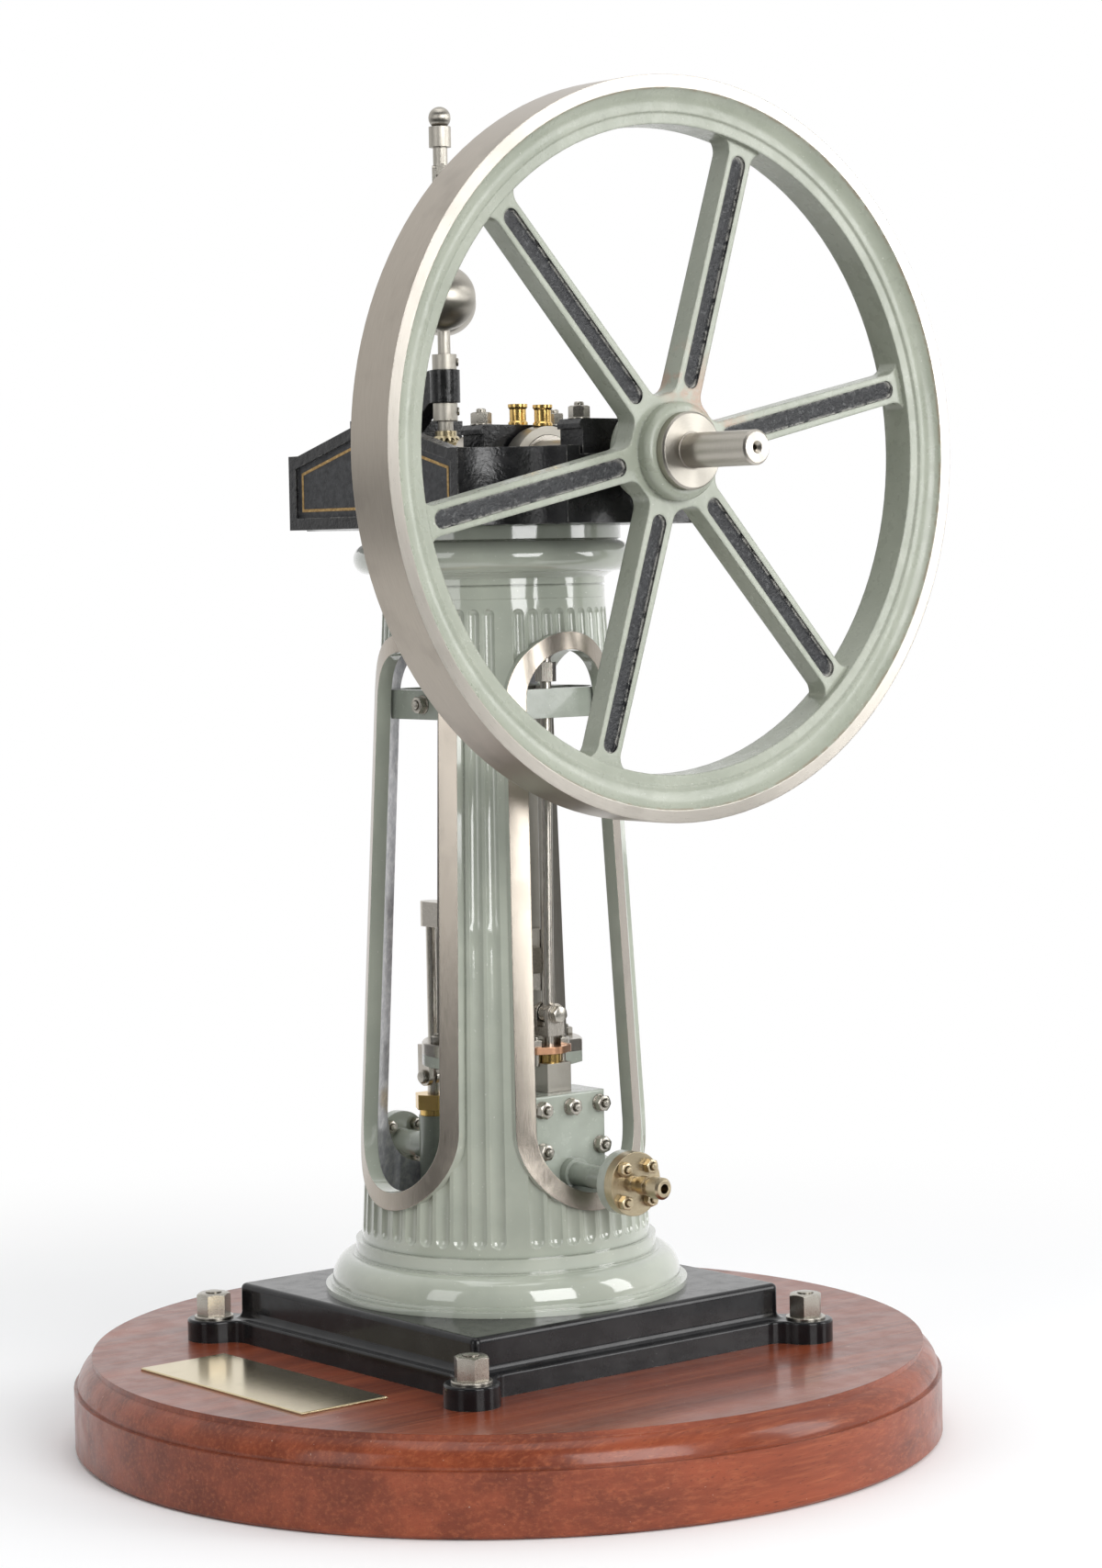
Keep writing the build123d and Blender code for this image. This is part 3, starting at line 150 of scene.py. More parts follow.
def ringPoint(tree, turned):  # rings about an axis, for turned work
    radius, along, angle = turnedPlace(tree, turned)
    swept = times(tree, angle, turned.get("sweep", 2.0))
    return put(tree, "ShaderNodeCombineXYZ", {0: radius, 1: along, 2: swept}).outputs[0]


def ringTangent(tree, turned):  # runs round an axis, so that highlights fan out
    axis = (0, 0, 1) if turned.get("alongZ") else (0, 1, 0)
    roundAxis = vector(tree, "CROSS_PRODUCT", fromCentre(tree, turned), axis)[0]
    return put(
        tree,
        "ShaderNodeVectorTransform",
        {0: vector(tree, "NORMALIZE", roundAxis)[0]},
        vector_type="VECTOR",
        convert_from="OBJECT",
        convert_to="WORLD",
    ).outputs[0]


# places that several pieces share, in mm
wheelCentre = (0, -72.95, 266.3)
valveY = -20.4
governorY = 19.7
inletZ = 74.5


# green enamel
enamelTones = {
    "column": {
        "light": rgb(0.43, 0.46, 0.39),
        "dark": rgb(0.375, 0.405, 0.345),
        "rough": 0.07,
        "peel": 0.05,
        "coat": 0.8,
    },
    "wheel": {
        "light": rgb(0.36, 0.385, 0.315),
        "dark": rgb(0.315, 0.34, 0.275),
        "rough": 0.3,
        "peel": 0.18,
        "coat": 0.15,
    },
    "works": {
        "light": rgb(0.39, 0.425, 0.37),
        "dark": rgb(0.32, 0.35, 0.30),
        "rough": 0.22,
        "peel": 0.10,
        "coat": 0.5,
    },
}
enamelMarks = {
    # creviceShade is painted shade for corners and recesses; the other tones are marks on the paint
    "creviceShade": rgb(0.12, 0.13, 0.10),
    "worn": rgb(0.62, 0.62, 0.53),
    "speck": rgb(0.75, 0.75, 0.70),
    "chip": rgb(0.09, 0.075, 0.055),
}
wheelRust = {  # a stain beside the hub and a thin line inside the bright rim
    "centre": wheelCentre,
    "colour": rgb(0.45, 0.24, 0.16),
    "near": 13,
    "far": 36,
    "lean": (0.6, 0, 0.8),
    "start": 6,
    "full": 15,
    "line": (91.2, 91.8),
    "lineColour": rgb(0.22, 0.15, 0.09),
}


def addRust(tree, point, colour, rust):
    radius = turnedPlace(tree, rust)[0]
    level = Vector(rust["lean"]).dot(Vector(rust["centre"]))
    upward = vector(tree, "DOT_PRODUCT", point, rust["lean"])["Value"]
    upper = remap(tree, upward, level + rust["start"], level + rust["full"])
    patches = remap(tree, noise(tree, point, 0.16, 4), 0.46, 0.6)
    stain = times(tree, times(tree, remap(tree, radius, rust["far"], rust["near"]), patches), upper)
    colour = tint(tree, times(tree, stain, 0.6), colour, rust["colour"])
    breaks = remap(tree, noise(tree, point, 0.3, 4), 0.35, 0.6)
    line = times(tree, remap(tree, radius, *rust["line"]), breaks)
    return tint(tree, times(tree, line, 0.6), colour, rust["lineColour"])


def greenEnamel(name, tone, edge=0.35, rust=None):
    finish, tree, shader = startFinish(name)
    point = partPoint(tree)
    colour = tint(tree, remap(tree, noise(tree, point, 0.05, 4), 0.35, 0.65), tone["dark"], tone["light"])
    # painted shade: darkens the enamel in corners and recesses found by ambient occlusion
    colour = tint(tree, times(tree, crevice(tree, 2.5), 0.55), colour, enamelMarks["creviceShade"])
    rounded = softEdge(tree, edge)
    patches = remap(tree, noise(tree, point, 0.9, 4), 0.5, 0.62)
    worn = times(tree, edgeShare(tree, rounded, 0.96, 0.8), patches)
    colour = tint(tree, times(tree, worn, 0.55), colour, enamelMarks["worn"])
    specks = remap(tree, noise(tree, point, 1.6, 2, 0.4), 0.735, 0.76)
    colour = tint(tree, times(tree, specks, 0.6), colour, enamelMarks["speck"])
    chips = remap(tree, noise(tree, point, 0.55, 5, 0.7), 0.755, 0.775)
    colour = tint(tree, times(tree, chips, 0.7), colour, enamelMarks["chip"])
    if rust:
        colour = addRust(tree, point, colour, rust)
    join(tree, shader, "Base Color", colour)
    peel = calc(tree, "ADD", noise(tree, point, 0.55, 3), times(tree, noise(tree, point, 2.4, 2), 0.35))
    join(tree, shader, "Normal", relief(tree, peel, tone["peel"], 0.35, rounded))
    clouds, rough = noise(tree, point, 0.3, 4), tone["rough"]
    join(tree, shader, "Roughness", remap(tree, clouds, 0.3, 0.75, rough * 0.8, rough * 1.35))
    join(tree, shader, "Coat Weight", tone["coat"])
    join(tree, shader, "Coat Roughness", 0.05)
    return finish


columnGreen = greenEnamel("columnGreenEnamel", enamelTones["column"])
wheelGreen = greenEnamel("wheelGreenEnamel", enamelTones["wheel"], edge=0.9, rust=wheelRust)
worksGreen = greenEnamel("worksGreenEnamel", enamelTones["works"])


# black castings
blackTones = {
    "dark": rgb(0.007, 0.007, 0.008),
    "light": rgb(0.016, 0.016, 0.017),
    "rub": rgb(0.36, 0.35, 0.32),
    "dust": rgb(0.42, 0.44, 0.42),
}


def blackCasting(name, flecks=0.0, rough=0.24, cast=0.5, gloss=0.15, mirror=0.4):
    finish, tree, shader = startFinish(name)
    point = partPoint(tree)
    clouds = remap(tree, noise(tree, point, 0.12, 4), 0.4, 0.7)
    colour = tint(tree, clouds, blackTones["dark"], blackTones["light"])
    rounded = softEdge(tree, 0.4)
    rub = times(tree, edgeShare(tree, rounded), remap(tree, noise(tree, point, 0.45, 5), 0.42, 0.62))
    colour = tint(tree, times(tree, rub, 0.65), colour, blackTones["rub"])
    if flecks:
        dust = remap(tree, noise(tree, point, 0.8, 6, 0.75), 0.665, 0.72)
        patch = remap(tree, noise(tree, point, 0.06, 2), 0.48, 0.68)
        colour = tint(tree, times(tree, times(tree, dust, patch), flecks), colour, blackTones["dust"])
    join(tree, shader, "Base Color", colour)
    sand = calc(tree, "ADD", noise(tree, point, 0.35, 4, 0.6), times(tree, noise(tree, point, 1.3, 3), 0.45))
    join(tree, shader, "Normal", relief(tree, sand, cast, 0.45, rounded))
    clouds = noise(tree, point, 0.25, 4)
    join(tree, shader, "Roughness", remap(tree, clouds, 0.3, 0.75, rough * 0.7, rough * 1.5))
    join(tree, shader, "Coat Weight", gloss)
    join(tree, shader, "Coat Roughness", 0.1)
    join(tree, shader, "Specular IOR Level", mirror)
    return finish


blackPaint = blackCasting("blackCastingEnamel")
blackBase = blackCasting("blackBaseEnamel", flecks=0.8, rough=0.2, cast=0.05, gloss=0.35, mirror=0.12)


# satin paint in recesses
satinMarks = {"scuff": rgb(0.13, 0.135, 0.135), "scrape": rgb(0.60, 0.59, 0.54)}


def slateSatin(name, base, rough, cast, scuffs=0.2, scrapes=0.0):
    finish, tree, shader = startFinish(name)
    point = partPoint(tree)
    clouds = remap(tree, noise(tree, point, 0.35, 5, 0.65), 0.35, 0.75)
    colour = tint(tree, clouds, base, toned(base, 1.7))
    scuff = remap(tree, noise(tree, point, 0.8, 5, 0.7), 0.54, 0.66)
    colour = tint(tree, times(tree, scuff, scuffs), colour, satinMarks["scuff"])
    lip = remap(tree, crevice(tree, 2.2), 0.03, 0.2)
    scrape = times(tree, lip, remap(tree, noise(tree, point, 0.4, 5, 0.75), 0.42, 0.52))
    colour = tint(tree, times(tree, scrape, scrapes), colour, satinMarks["scrape"])
    join(tree, shader, "Base Color", colour)
    lumps = calc(tree, "ADD", noise(tree, point, 0.5, 4), times(tree, noise(tree, point, 2.0, 3), 0.4))
    join(tree, shader, "Normal", relief(tree, lumps, cast, 0.5, softEdge(tree, 0.3)))
    clouds = noise(tree, point, 0.6, 4)
    join(tree, shader, "Roughness", remap(tree, clouds, 0.3, 0.7, rough * 0.75, rough * 1.2))
    return finish


panelSlate = slateSatin("gablePanelSlate", rgb(0.030, 0.031, 0.034), 0.55, 0.25)
spokeSlate = slateSatin("spokeRecessBlack", rgb(0.013, 0.014, 0.016), 0.42, 0.8, scuffs=0.55, scrapes=0.9)
# painted light: the bore's grey is made pale to stand in for light reaching the inside of the column
boreGrey = slateSatin("columnBoreGrey", rgb(0.58, 0.58, 0.64), 0.22, 0.0, scuffs=0.0)


# bare metals, each with a light and a shaded tone
metals = {
    "steel": (rgb(0.60, 0.565, 0.51), rgb(0.52, 0.485, 0.43)),
    "rimSteel": (rgb(0.46, 0.415, 0.36), rgb(0.37, 0.33, 0.28)),
    "greySteel": (rgb(0.40, 0.385, 0.345), rgb(0.32, 0.30, 0.26)),
    "nutSteel": (rgb(0.50, 0.475, 0.425), rgb(0.41, 0.385, 0.335)),
    "plateBrass": (rgb(0.70, 0.60, 0.40), rgb(0.60, 0.50, 0.31)),
    "brass": (rgb(0.80, 0.56, 0.21), rgb(0.62, 0.40, 0.13)),
    "paleBrass": (rgb(0.66, 0.57, 0.38), rgb(0.50, 0.42, 0.26)),
    "bronze": (rgb(0.62, 0.53, 0.37), rgb(0.46, 0.38, 0.25)),
    "copper": (rgb(0.70, 0.40, 0.25), rgb(0.50, 0.26, 0.15)),
}
# painted shade: a dark brown laid into the corners and recesses of bare metal
creviceShadeBrown = rgb(0.07, 0.05, 0.035)


def workedMetal(
    name, metal, rough=0.3, streak=(1, 1, 1), turned=None, edge=0.25, depth=0.02, tarnish=0.3, brushed=0
):
    finish, tree, shader = startFinish(name)
    base, shade = metals[metal]
    lines = ringPoint(tree, turned) if turned else partPoint(tree, streak)
    fine = noise(tree, lines, 5.5, 4, 0.65)
    colour = tint(tree, remap(tree, fine, 0.15, 0.85), shade, base)
    dull = times(tree, remap(tree, noise(tree, partPoint(tree), 0.07, 3), 0.48, 0.75), tarnish)
    colour = tint(tree, dull, colour, toned(shade, 0.62))
    # painted shade in corners, from ambient occlusion
    join(tree, shader, "Base Color", tint(tree, times(tree, crevice(tree, 1.6), 0.6), colour, creviceShadeBrown))
    join(tree, shader, "Metallic", 1.0)
    rounded = softEdge(tree, edge)
    join(tree, shader, "Normal", relief(tree, fine, depth, 0.12, rounded) if depth else rounded)
    join(tree, shader, "Roughness", remap(tree, fine, 0.2, 0.85, rough * 0.88, rough * 1.15))
    if brushed:
        join(tree, shader, "Anisotropic", brushed)
        join(tree, shader, "Tangent", ringTangent(tree, turned))
    return finish


rimTurning = {"centre": wheelCentre, "sweep": 3.0}
shaftTurning = {"centre": wheelCentre, "sweep": 0.6}
governorTurning = {"centre": (0, governorY, 300), "alongZ": True}
unionTurning = {"centre": (0, -55, inletZ), "sweep": 0.8}
upright = (1, 1, 0.03)  # streaks that run up a bar

rimSteel = workedMetal("rimSteel", "rimSteel", 0.34, turned=rimTurning, depth=0)
faceSteel = workedMetal("rimFaceSteel", "steel", 0.3, turned=rimTurning, edge=0.4, depth=0, brushed=0.85)
stubSteel = workedMetal(
    "turnedShaftSteel", "steel", 0.34, turned=shaftTurning, depth=0, tarnish=0.2, brushed=0.85
)
collarSteel = workedMetal(
    "turnedCollarSteel", "nutSteel", 0.36, turned=shaftTurning, depth=0, tarnish=0.2, brushed=0.9
)
guideSteel = workedMetal("guideGreySteel", "greySteel", 0.4, upright)
borderSteel = workedMetal("windowBorderSteel", "rimSteel", 0.24, upright, edge=0.35, depth=0)
barSteel = workedMetal("drawnBarSteel", "steel", 0.27, upright)
plainSteel = workedMetal("plainSteel", "steel", 0.26)
chestSteel = workedMetal("stuffingBoxGrey", "greySteel", 0.42)
strapSteel = workedMetal("strapSatinSteel", "nutSteel", 0.36, depth=0)
ballSteel = workedMetal("governorSteel", "nutSteel", 0.36, turned=governorTurning, depth=0, brushed=0.8)
cupBrass = workedMetal("turnedBrass", "brass", 0.2, tarnish=0.25)
gearBrass = workedMetal("gearPaleBrass", "paleBrass", 0.3)
unionBronze = workedMetal(
    "unionBronze", "bronze", 0.3, turned=unionTurning, depth=0, tarnish=0.5, brushed=0.6
)
glandCopper = workedMetal("glandCopper", "copper", 0.3)
plateBrass = workedMetal("namePlateBrass", "plateBrass", 0.16, (0.02, 1, 1), depth=0)
nutSteel = workedMetal("nutSteel", "nutSteel", 0.28, edge=0.2, tarnish=0.5)


# varnished wood and gold paint
woodTones = {
    "dark": rgb(0.135, 0.028, 0.012),
    "light": rgb(0.26, 0.058, 0.024),
    "streak": rgb(0.33, 0.095, 0.040),
    "pore": rgb(0.075, 0.018, 0.010),
    "scratch": rgb(0.50, 0.30, 0.20),
    "speck": rgb(0.55, 0.42, 0.33),
    "rub": rgb(0.36, 0.15, 0.07),
}


def mahogany(name):
    finish, tree, shader = startFinish(name)
    point = partPoint(tree)
    bands = noise(tree, partPoint(tree, (0.045, 1, 1)), 0.09, 6, 0.6, 0.15)
    streaks = noise(tree, partPoint(tree, (0.03, 1, 1)), 0.9, 5, 0.7)
    pores = noise(tree, partPoint(tree, (0.09, 1, 1)), 2.6, 3, 0.6)
    colour = tint(tree, remap(tree, bands, 0.3, 0.72), woodTones["dark"], woodTones["light"])
    colour = tint(tree, times(tree, remap(tree, streaks, 0.45, 0.7), 0.6), colour, woodTones["streak"])
    colour = tint(tree, times(tree, remap(tree, pores, 0.58, 0.72), 0.6), colour, woodTones["pore"])
    scratch = remap(tree, noise(tree, partPoint(tree, (0.35, 0.12, 1)), 0.8, 6, 0.8), 0.735, 0.76)
    colour = tint(tree, times(tree, scratch, 0.45), colour, woodTones["scratch"])
    specks = remap(tree, noise(tree, point, 0.9, 3, 0.5), 0.735, 0.755)
    colour = tint(tree, times(tree, specks, 0.5), colour, woodTones["speck"])
    rounded = softEdge(tree, 0.5)
    rub = times(tree, edgeShare(tree, rounded), remap(tree, noise(tree, point, 0.2, 4), 0.52, 0.7))
    join(tree, shader, "Base Color", tint(tree, times(tree, rub, 0.35), colour, woodTones["rub"]))
    height = calc(tree, "SUBTRACT", times(tree, noise(tree, point, 0.5, 3), 0.5), times(tree, pores, 0.35))
    join(tree, shader, "Normal", relief(tree, height, 0.16, 0.3, rounded))
    join(tree, shader, "Roughness", remap(tree, noise(tree, point, 0.15, 4), 0.3, 0.75, 0.28, 0.4))
    join(tree, shader, "Specular IOR Level", 0.2)
    join(tree, shader, "Coat Weight", 0.3)
    join(tree, shader, "Coat Roughness", 0.12)
    return finish


goldTones = {"worn": rgb(0.36, 0.22, 0.08), "bright": rgb(0.62, 0.42, 0.17)}


def goldPaint(name):
    finish, tree, shader = startFinish(name)
    wear = remap(tree, noise(tree, partPoint(tree), 0.9, 5, 0.7), 0.35, 0.7)
    join(tree, shader, "Base Color", tint(tree, wear, goldTones["worn"], goldTones["bright"]))
    join(tree, shader, "Roughness", remap(tree, wear, 0, 1, 0.55, 0.35))
    join(tree, shader, "Metallic", 0.6)
    return finish


woodRed = mahogany("mahoganyVarnish")
goldLine = goldPaint("goldLining")
print("finishes made:", len(bpy.data.materials))


# finishes on the CAD nodes
guideBars = [f"{side}_{end}_guide_bar" for side in ("left", "right") for end in ("front", "rear")]
bearingCaps = [f"{place}_bearing_cap" for place in ("front", "inner", "rear")]
nodeFinishes = [
    (woodRed, ["plinth"]),
    (blackBase, ["base_plate"]),
    (blackPaint, ["entablature", "governor_bracket"] + bearingCaps),
    (columnGreen, ["column_foot", "column_shaft", "column_cap"]),
    (wheelGreen, ["flywheel"]),
    (worksGreen, ["cylinder", "steam_chest", "steam_chest_cover", "steam_inlet", "feed_pump", "guide_frame"]),
    (guideSteel, guideBars),
    (barSteel, ["piston_rod", "connecting_rod", "eccentric_rod", "valve_spindle"]),
    (barSteel, ["pump_rod", "pump_plunger"]),
    (strapSteel, ["eccentric_strap"]),
    (plainSteel, ["cylinder_cover", "crosshead", "big_end", "valve_eccentric"]),
    (stubSteel, ["crankshaft"]),
    (collarSteel, ["shaft_collar"]),
    (ballSteel, ["governor_spindle", "near_governor_arm", "far_governor_arm"]),
    (cupBrass, ["inner_oil_cup", "strap_oil_cup", "pump_gland_nut"]),
    (gearBrass, ["bevel_wheel", "bevel_pinion"]),
    (unionBronze, ["inlet_union"]),
    (glandCopper, ["valve_gland"]),
    (chestSteel, ["stuffing_box"]),
]
for finish, names in nodeFinishes:
    for name in names:
        mesh = cadNodes[name].data
        mesh.materials.clear()
        mesh.materials.append(finish)


def paintFaces(name, finish, test):  # a second finish on the faces that pass the test, in mm
    mesh = cadNodes[name].data
    mesh.materials.append(finish)
    index = len(mesh.materials) - 1
    count = 0
    for face in mesh.polygons:
        if test(face.center / mm, face.normal):
            face.material_index = index
            count += 1
    print("  ", name, finish.name, count, "faces")


close = 0.1  # mm, how near a face lies to a named place
columnSize = {"footZ": 54.5, "topZ": 229.0, "footR": 39.6, "topR": 30.4, "rise": 0.8}
wheelSize = {"rim": 95.25, "band": 3.3, "half": 7.45}
slotSize = {"floor": 2.3, "top": 3.15, "near": 16, "far": 81}  # depths are from the wheel's middle plane
panelSize = {"x": 39.8, "half": 34.5}
glandSleeveTop = 106.2


def outward(c, n):  # 1 where a face looks straight away from the column's axis
    return (c.x * n.x + c.y * n.y) / math.hypot(c.x, c.y)


def onBorder(c, n):
    share = (c.z - columnSize["footZ"]) / (columnSize["topZ"] - columnSize["footZ"])
    plain = columnSize["footR"] + (columnSize["topR"] - columnSize["footR"]) * share
    return math.hypot(c.x, c.y) > plain + columnSize["rise"] and abs(outward(c, n)) > 0.7


def onBore(c, n):
    return outward(c, n) < -0.7 and math.hypot(n.x, n.y) > 0.7 and n.z < 0.3


def wheelRadius(c):
    return math.hypot(c.x, c.z - wheelCentre[2])


def wheelDepth(c):
    return abs(c.y - wheelCentre[1])


def onRim(c, n):
    return abs(n.y) < 0.5 and wheelRadius(c) > wheelSize["rim"] - 1


def onRimFace(c, n):
    inBand = wheelRadius(c) > wheelSize["rim"] - wheelSize["band"] - close / 2
    return abs(n.y) > 0.5 and inBand and wheelDepth(c) > wheelSize["half"] - close


def onSlotFloor(c, n):
    deep = abs(wheelDepth(c) - slotSize["floor"]) < close
    return abs(n.y) > 0.5 and deep and wheelRadius(c) < slotSize["far"]


def onSlotWall(c, n):
    deep = slotSize["floor"] < wheelDepth(c) < slotSize["top"]
    return abs(n.y) < 0.5 and deep and slotSize["near"] < wheelRadius(c) < slotSize["far"]


def onPanel(c, n):
    return abs(n.x) > 0.9 and abs(abs(c.x) - panelSize["x"]) < close and abs(c.y) < panelSize["half"]


def onSleeve(c, n):
    return c.z < glandSleeveTop


paintFaces("column_shaft", borderSteel, onBorder)
paintFaces("column_shaft", boreGrey, onBore)
paintFaces("flywheel", rimSteel, onRim)
paintFaces("flywheel", faceSteel, onRimFace)
paintFaces("flywheel", spokeSlate, onSlotFloor)
paintFaces("flywheel", spokeSlate, onSlotWall)
paintFaces("entablature", panelSlate, onPanel)
paintFaces("valve_gland", cupBrass, onSleeve)
print("CAD nodes dressed")


# mesh helpers for fasteners
frontWay, upWay = (0, -1, 0), (0, 0, 1)


def ringPoints(radius, z, count):
    angles = [2 * math.pi * i / count for i in range(count)]
    return [(radius * math.cos(a), radius * math.sin(a), z) for a in angles]


def hexPoints(half, z, count):  # half is half the size across flats
    points = []
    for i in range(count):
        angle = 2 * math.pi * i / count
        r = half / math.cos((angle + math.pi / 6) % (math.pi / 3) - math.pi / 6)
        points.append((r * math.cos(angle), r * math.sin(angle), z))
    return points


def skin(mesh, rings, place):  # joins rings of points into one closed surface
    rows = [[mesh.verts.new(place @ (Vector(p) * mm)) for p in ring] for ring in rings]
    for low, high in zip(rows, rows[1:]):
        for i in range(len(low)):
            j = (i + 1) % len(low)
            mesh.faces.new((low[i], low[j], high[j], high[i]))
    mesh.faces.new(list(reversed(rows[0])))
    mesh.faces.new(rows[-1])


nutShape = {"sides": 36, "crown": 0.94, "slope": 0.58, "dip": 0.3, "dipWide": 0.25, "dipNarrow": 0.05}


def hexRings(flat, height, count, z):
    half = flat / 2
    crown = half * nutShape["crown"]  # the round top inside the chamfer
    top = []
    for x, y, _ in hexPoints(half, 0, count):
        top.append((x, y, z + height - (math.hypot(x, y) - crown) * nutShape["slope"]))
    foot = hexPoints(half * 0.985, z, count)
    return [foot, hexPoints(half, z + 0.06 * height, count), top, ringPoints(crown, z + height, count)]


def studRings(radius, out, top, count):  # a dip round the stud, then the stud's rounded end
    return [
        ringPoints(radius + nutShape["dipWide"], top, count),
        ringPoints(radius + nutShape["dipNarrow"], top - nutShape["dip"], count),
        ringPoints(radius, top - nutShape["dip"], count),
        ringPoints(radius, top + out * 0.7, count),
        ringPoints(radius * 0.82, top + out, count),
        ringPoints(radius * 0.25, top + out * 1.08, count),
    ]


def addTurned(mesh, place, profile, count=32):
    skin(mesh, [ringPoints(r, z, count) for r, z in profile], place)


def addNut(mesh, place, size):
    count = nutShape["sides"]
    seat = size.get("washerT", 0.0)
    if seat:
        wide = size["washerR"]
        addTurned(mesh, place, [(wide, 0), (wide, seat * 0.75), (wide - seat * 0.3, seat)], count)
    rings = hexRings(size["flat"], size["height"], count, seat)
    if "studR" in size:
        rings += studRings(size["studR"], size["studOut"], seat + size["height"], count)
    skin(mesh, rings, place)


def facing(at, way):  # a place with its Z axis along way
    turn = Vector(way).to_track_quat("Z", "Y").to_matrix().to_4x4()
    return Matrix.Translation(Vector(at) * mm) @ turn


def finishPiece(name, mesh, body, finish, smoothAngle=32):
    bmesh.ops.recalc_face_normals(mesh, faces=mesh.faces)
    data = bpy.data.meshes.new(name)
    mesh.to_mesh(data)
    mesh.free()
    for face in data.polygons:
        face.use_smooth = True
    data.set_sharp_from_angle(angle=math.radians(smoothAngle))
    data.materials.append(finish)
    piece = bpy.data.objects.new(name, data)
    bpy.context.scene.collection.objects.link(piece)
    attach(piece, body)


def nutSet(name, body, size, places, finish=nutSteel):
    mesh = bmesh.new()
    for at, way, turn in places:
        addNut(mesh, facing(at, way) @ Matrix.Rotation(math.radians(turn), 4, "Z"), size)
    finishPiece(name, mesh, body, finish)


def circle(radius, angle):
    return radius * math.cos(math.radians(angle)), radius * math.sin(math.radians(angle))


def flangeSpots(ring):  # nuts on a flange that faces the front
    spots = []
    for angle in ring["angles"]:
        x, z = circle(ring["radius"], angle)
        spots.append(((x, ring["face"], ring["z"] + z), frontWay, angle / 3))
    return spots


# nuts, studs and bolts
baseNut = {
    "flat": 8.2,
    "height": 6.2,
    "washerR": 5.4,
    "washerT": 0.7,
    "studR": 2.1,
    "studOut": 0.5,
    "z": 31,
    "corners": [(58, 58, 17), (-58, 58, 5), (-58, -58, 31), (58, -58, 12)],  # x, y and turn
}
baseSpots = [((x, y, baseNut["z"]), upWay, turn) for x, y, turn in baseNut["corners"]]
nutSet("base_nuts", "engine_frame", baseNut, baseSpots)

chestNut = {
    "flat": 4.0,
    "height": 2.2,
    "washerR": 2.35,
    "washerT": 0.35,
    "studR": 1.0,
    "studOut": 0.9,
    "face": -29,
    "spots": [(-10, 92.5), (0, 92.5), (10, 92.5), (-10, 81.2), (10, 81.2), (-10, 69.9), (10, 69.9)],
}
chestSpots = [((x, chestNut["face"], z), frontWay, 11 * i) for i, (x, z) in enumerate(chestNut["spots"])]
nutSet("chest_nuts", "engine_frame", chestNut, chestSpots)

unionNut = {"flat": 3.5, "height": 2.0, "studR": 0.9, "studOut": 0.8}
unionRing = {"radius": 6.2, "face": -55.5, "z": inletZ, "angles": (45, 135, 225, 315)}
nutSet("union_nuts", "engine_frame", unionNut, flangeSpots(unionRing), unionBronze)

pumpNut = {"flat": 3.2, "height": 1.7, "studR": 0.8, "studOut": 0.5}
pumpRing = {"radius": 6.4, "face": 46.6, "z": 75.0, "angles": (45, 135, 225, 315)}
nutSet("pump_flange_nuts", "engine_frame", pumpNut, flangeSpots(pumpRing))

glandNut = {"flat": 3.6, "height": 2.0, "studR": 0.95, "studOut": 0.8, "x": 4.6, "z": 108.2, "studLow": 103.0}
glandSides = (-glandNut["x"], glandNut["x"])
glandSpots = [((x, valveY, glandNut["z"]), upWay, 10) for x in glandSides]
nutSet("gland_nuts", "engine_frame", glandNut, glandSpots)
mesh = bmesh.new()
for x in glandSides:
    studLine = [(glandNut["studR"], 0), (glandNut["studR"], glandNut["z"] - glandNut["studLow"])]
    addTurned(mesh, facing((x, valveY, glandNut["studLow"]), upWay), studLine)
finishPiece("gland_studs", mesh, "engine_frame", nutSteel)

capNut = {
    "flat": 4.9,
    "height": 3.0,
    "washerR": 2.9,
    "washerT": 0.4,
    "studR": 1.3,
    "studOut": 1.0,
    "x": 12.6,
    "caps": [(-53.0, 275.5), (-12.1, 275.5), (37.5, 278.7)],  # y and z
}
capSpots = []
for i, (y, z) in enumerate(capNut["caps"]):
    for x in (-capNut["x"], capNut["x"]):
        capSpots.append(((x, y, z), upWay, 9 * i + x))
nutSet("bearing_nuts", "engine_frame", capNut, capSpots)

coverNut = {"flat": 3.6, "height": 2.0, "studR": 0.95, "studOut": 0.8}
coverRing = {"radius": 19.0, "z": 108.3, "angles": (15, 75, 105, 165, 195, 345)}
coverSpots = [((*circle(coverRing["radius"], a), coverRing["z"]), upWay, a) for a in coverRing["angles"]]
nutSet("cover_nuts", "engine_frame", coverNut, coverSpots)

frameBolt = {"flat": 4.2, "height": 2.0, "washerR": 2.6, "washerT": 0.4, "studR": 1.1, "studOut": 0.4}
frameSpot = {"x": 24.47, "y": 0.6, "z": 200.9, "turn": 20}
frameSpots = []
for side in (-1, 1):
    at = (side * frameSpot["x"], frameSpot["y"], frameSpot["z"])
    frameSpots.append((at, (side, 0, 0), frameSpot["turn"]))
nutSet("guide_bolts", "engine_frame", frameBolt, frameSpots)

forkBolt = {"flat": 4.2, "height": 1.8, "washerR": 2.5, "washerT": 0.35, "out": 3.2, "z": 117, "turn": 15}
forkSpots = []
for side in (-1, 1):
    forkSpots.append(((0, valveY + side * forkBolt["out"], forkBolt["z"]), (0, side, 0), forkBolt["turn"]))
nutSet("fork_bolt", "engine_frame", forkBolt, forkSpots)

pumpPin = {"x": 3.65, "y": 30.9, "z": 95.2, "head": [(1.9, 0), (1.9, 0.9), (1.5, 1.25), (0.6, 1.35)]}
mesh = bmesh.new()
for side in (-1, 1):
    addTurned(mesh, facing((side * pumpPin["x"], pumpPin["y"], pumpPin["z"]), (side, 0, 0)), pumpPin["head"])
finishPiece("pump_pin_heads", mesh, "engine_frame", nutSteel)

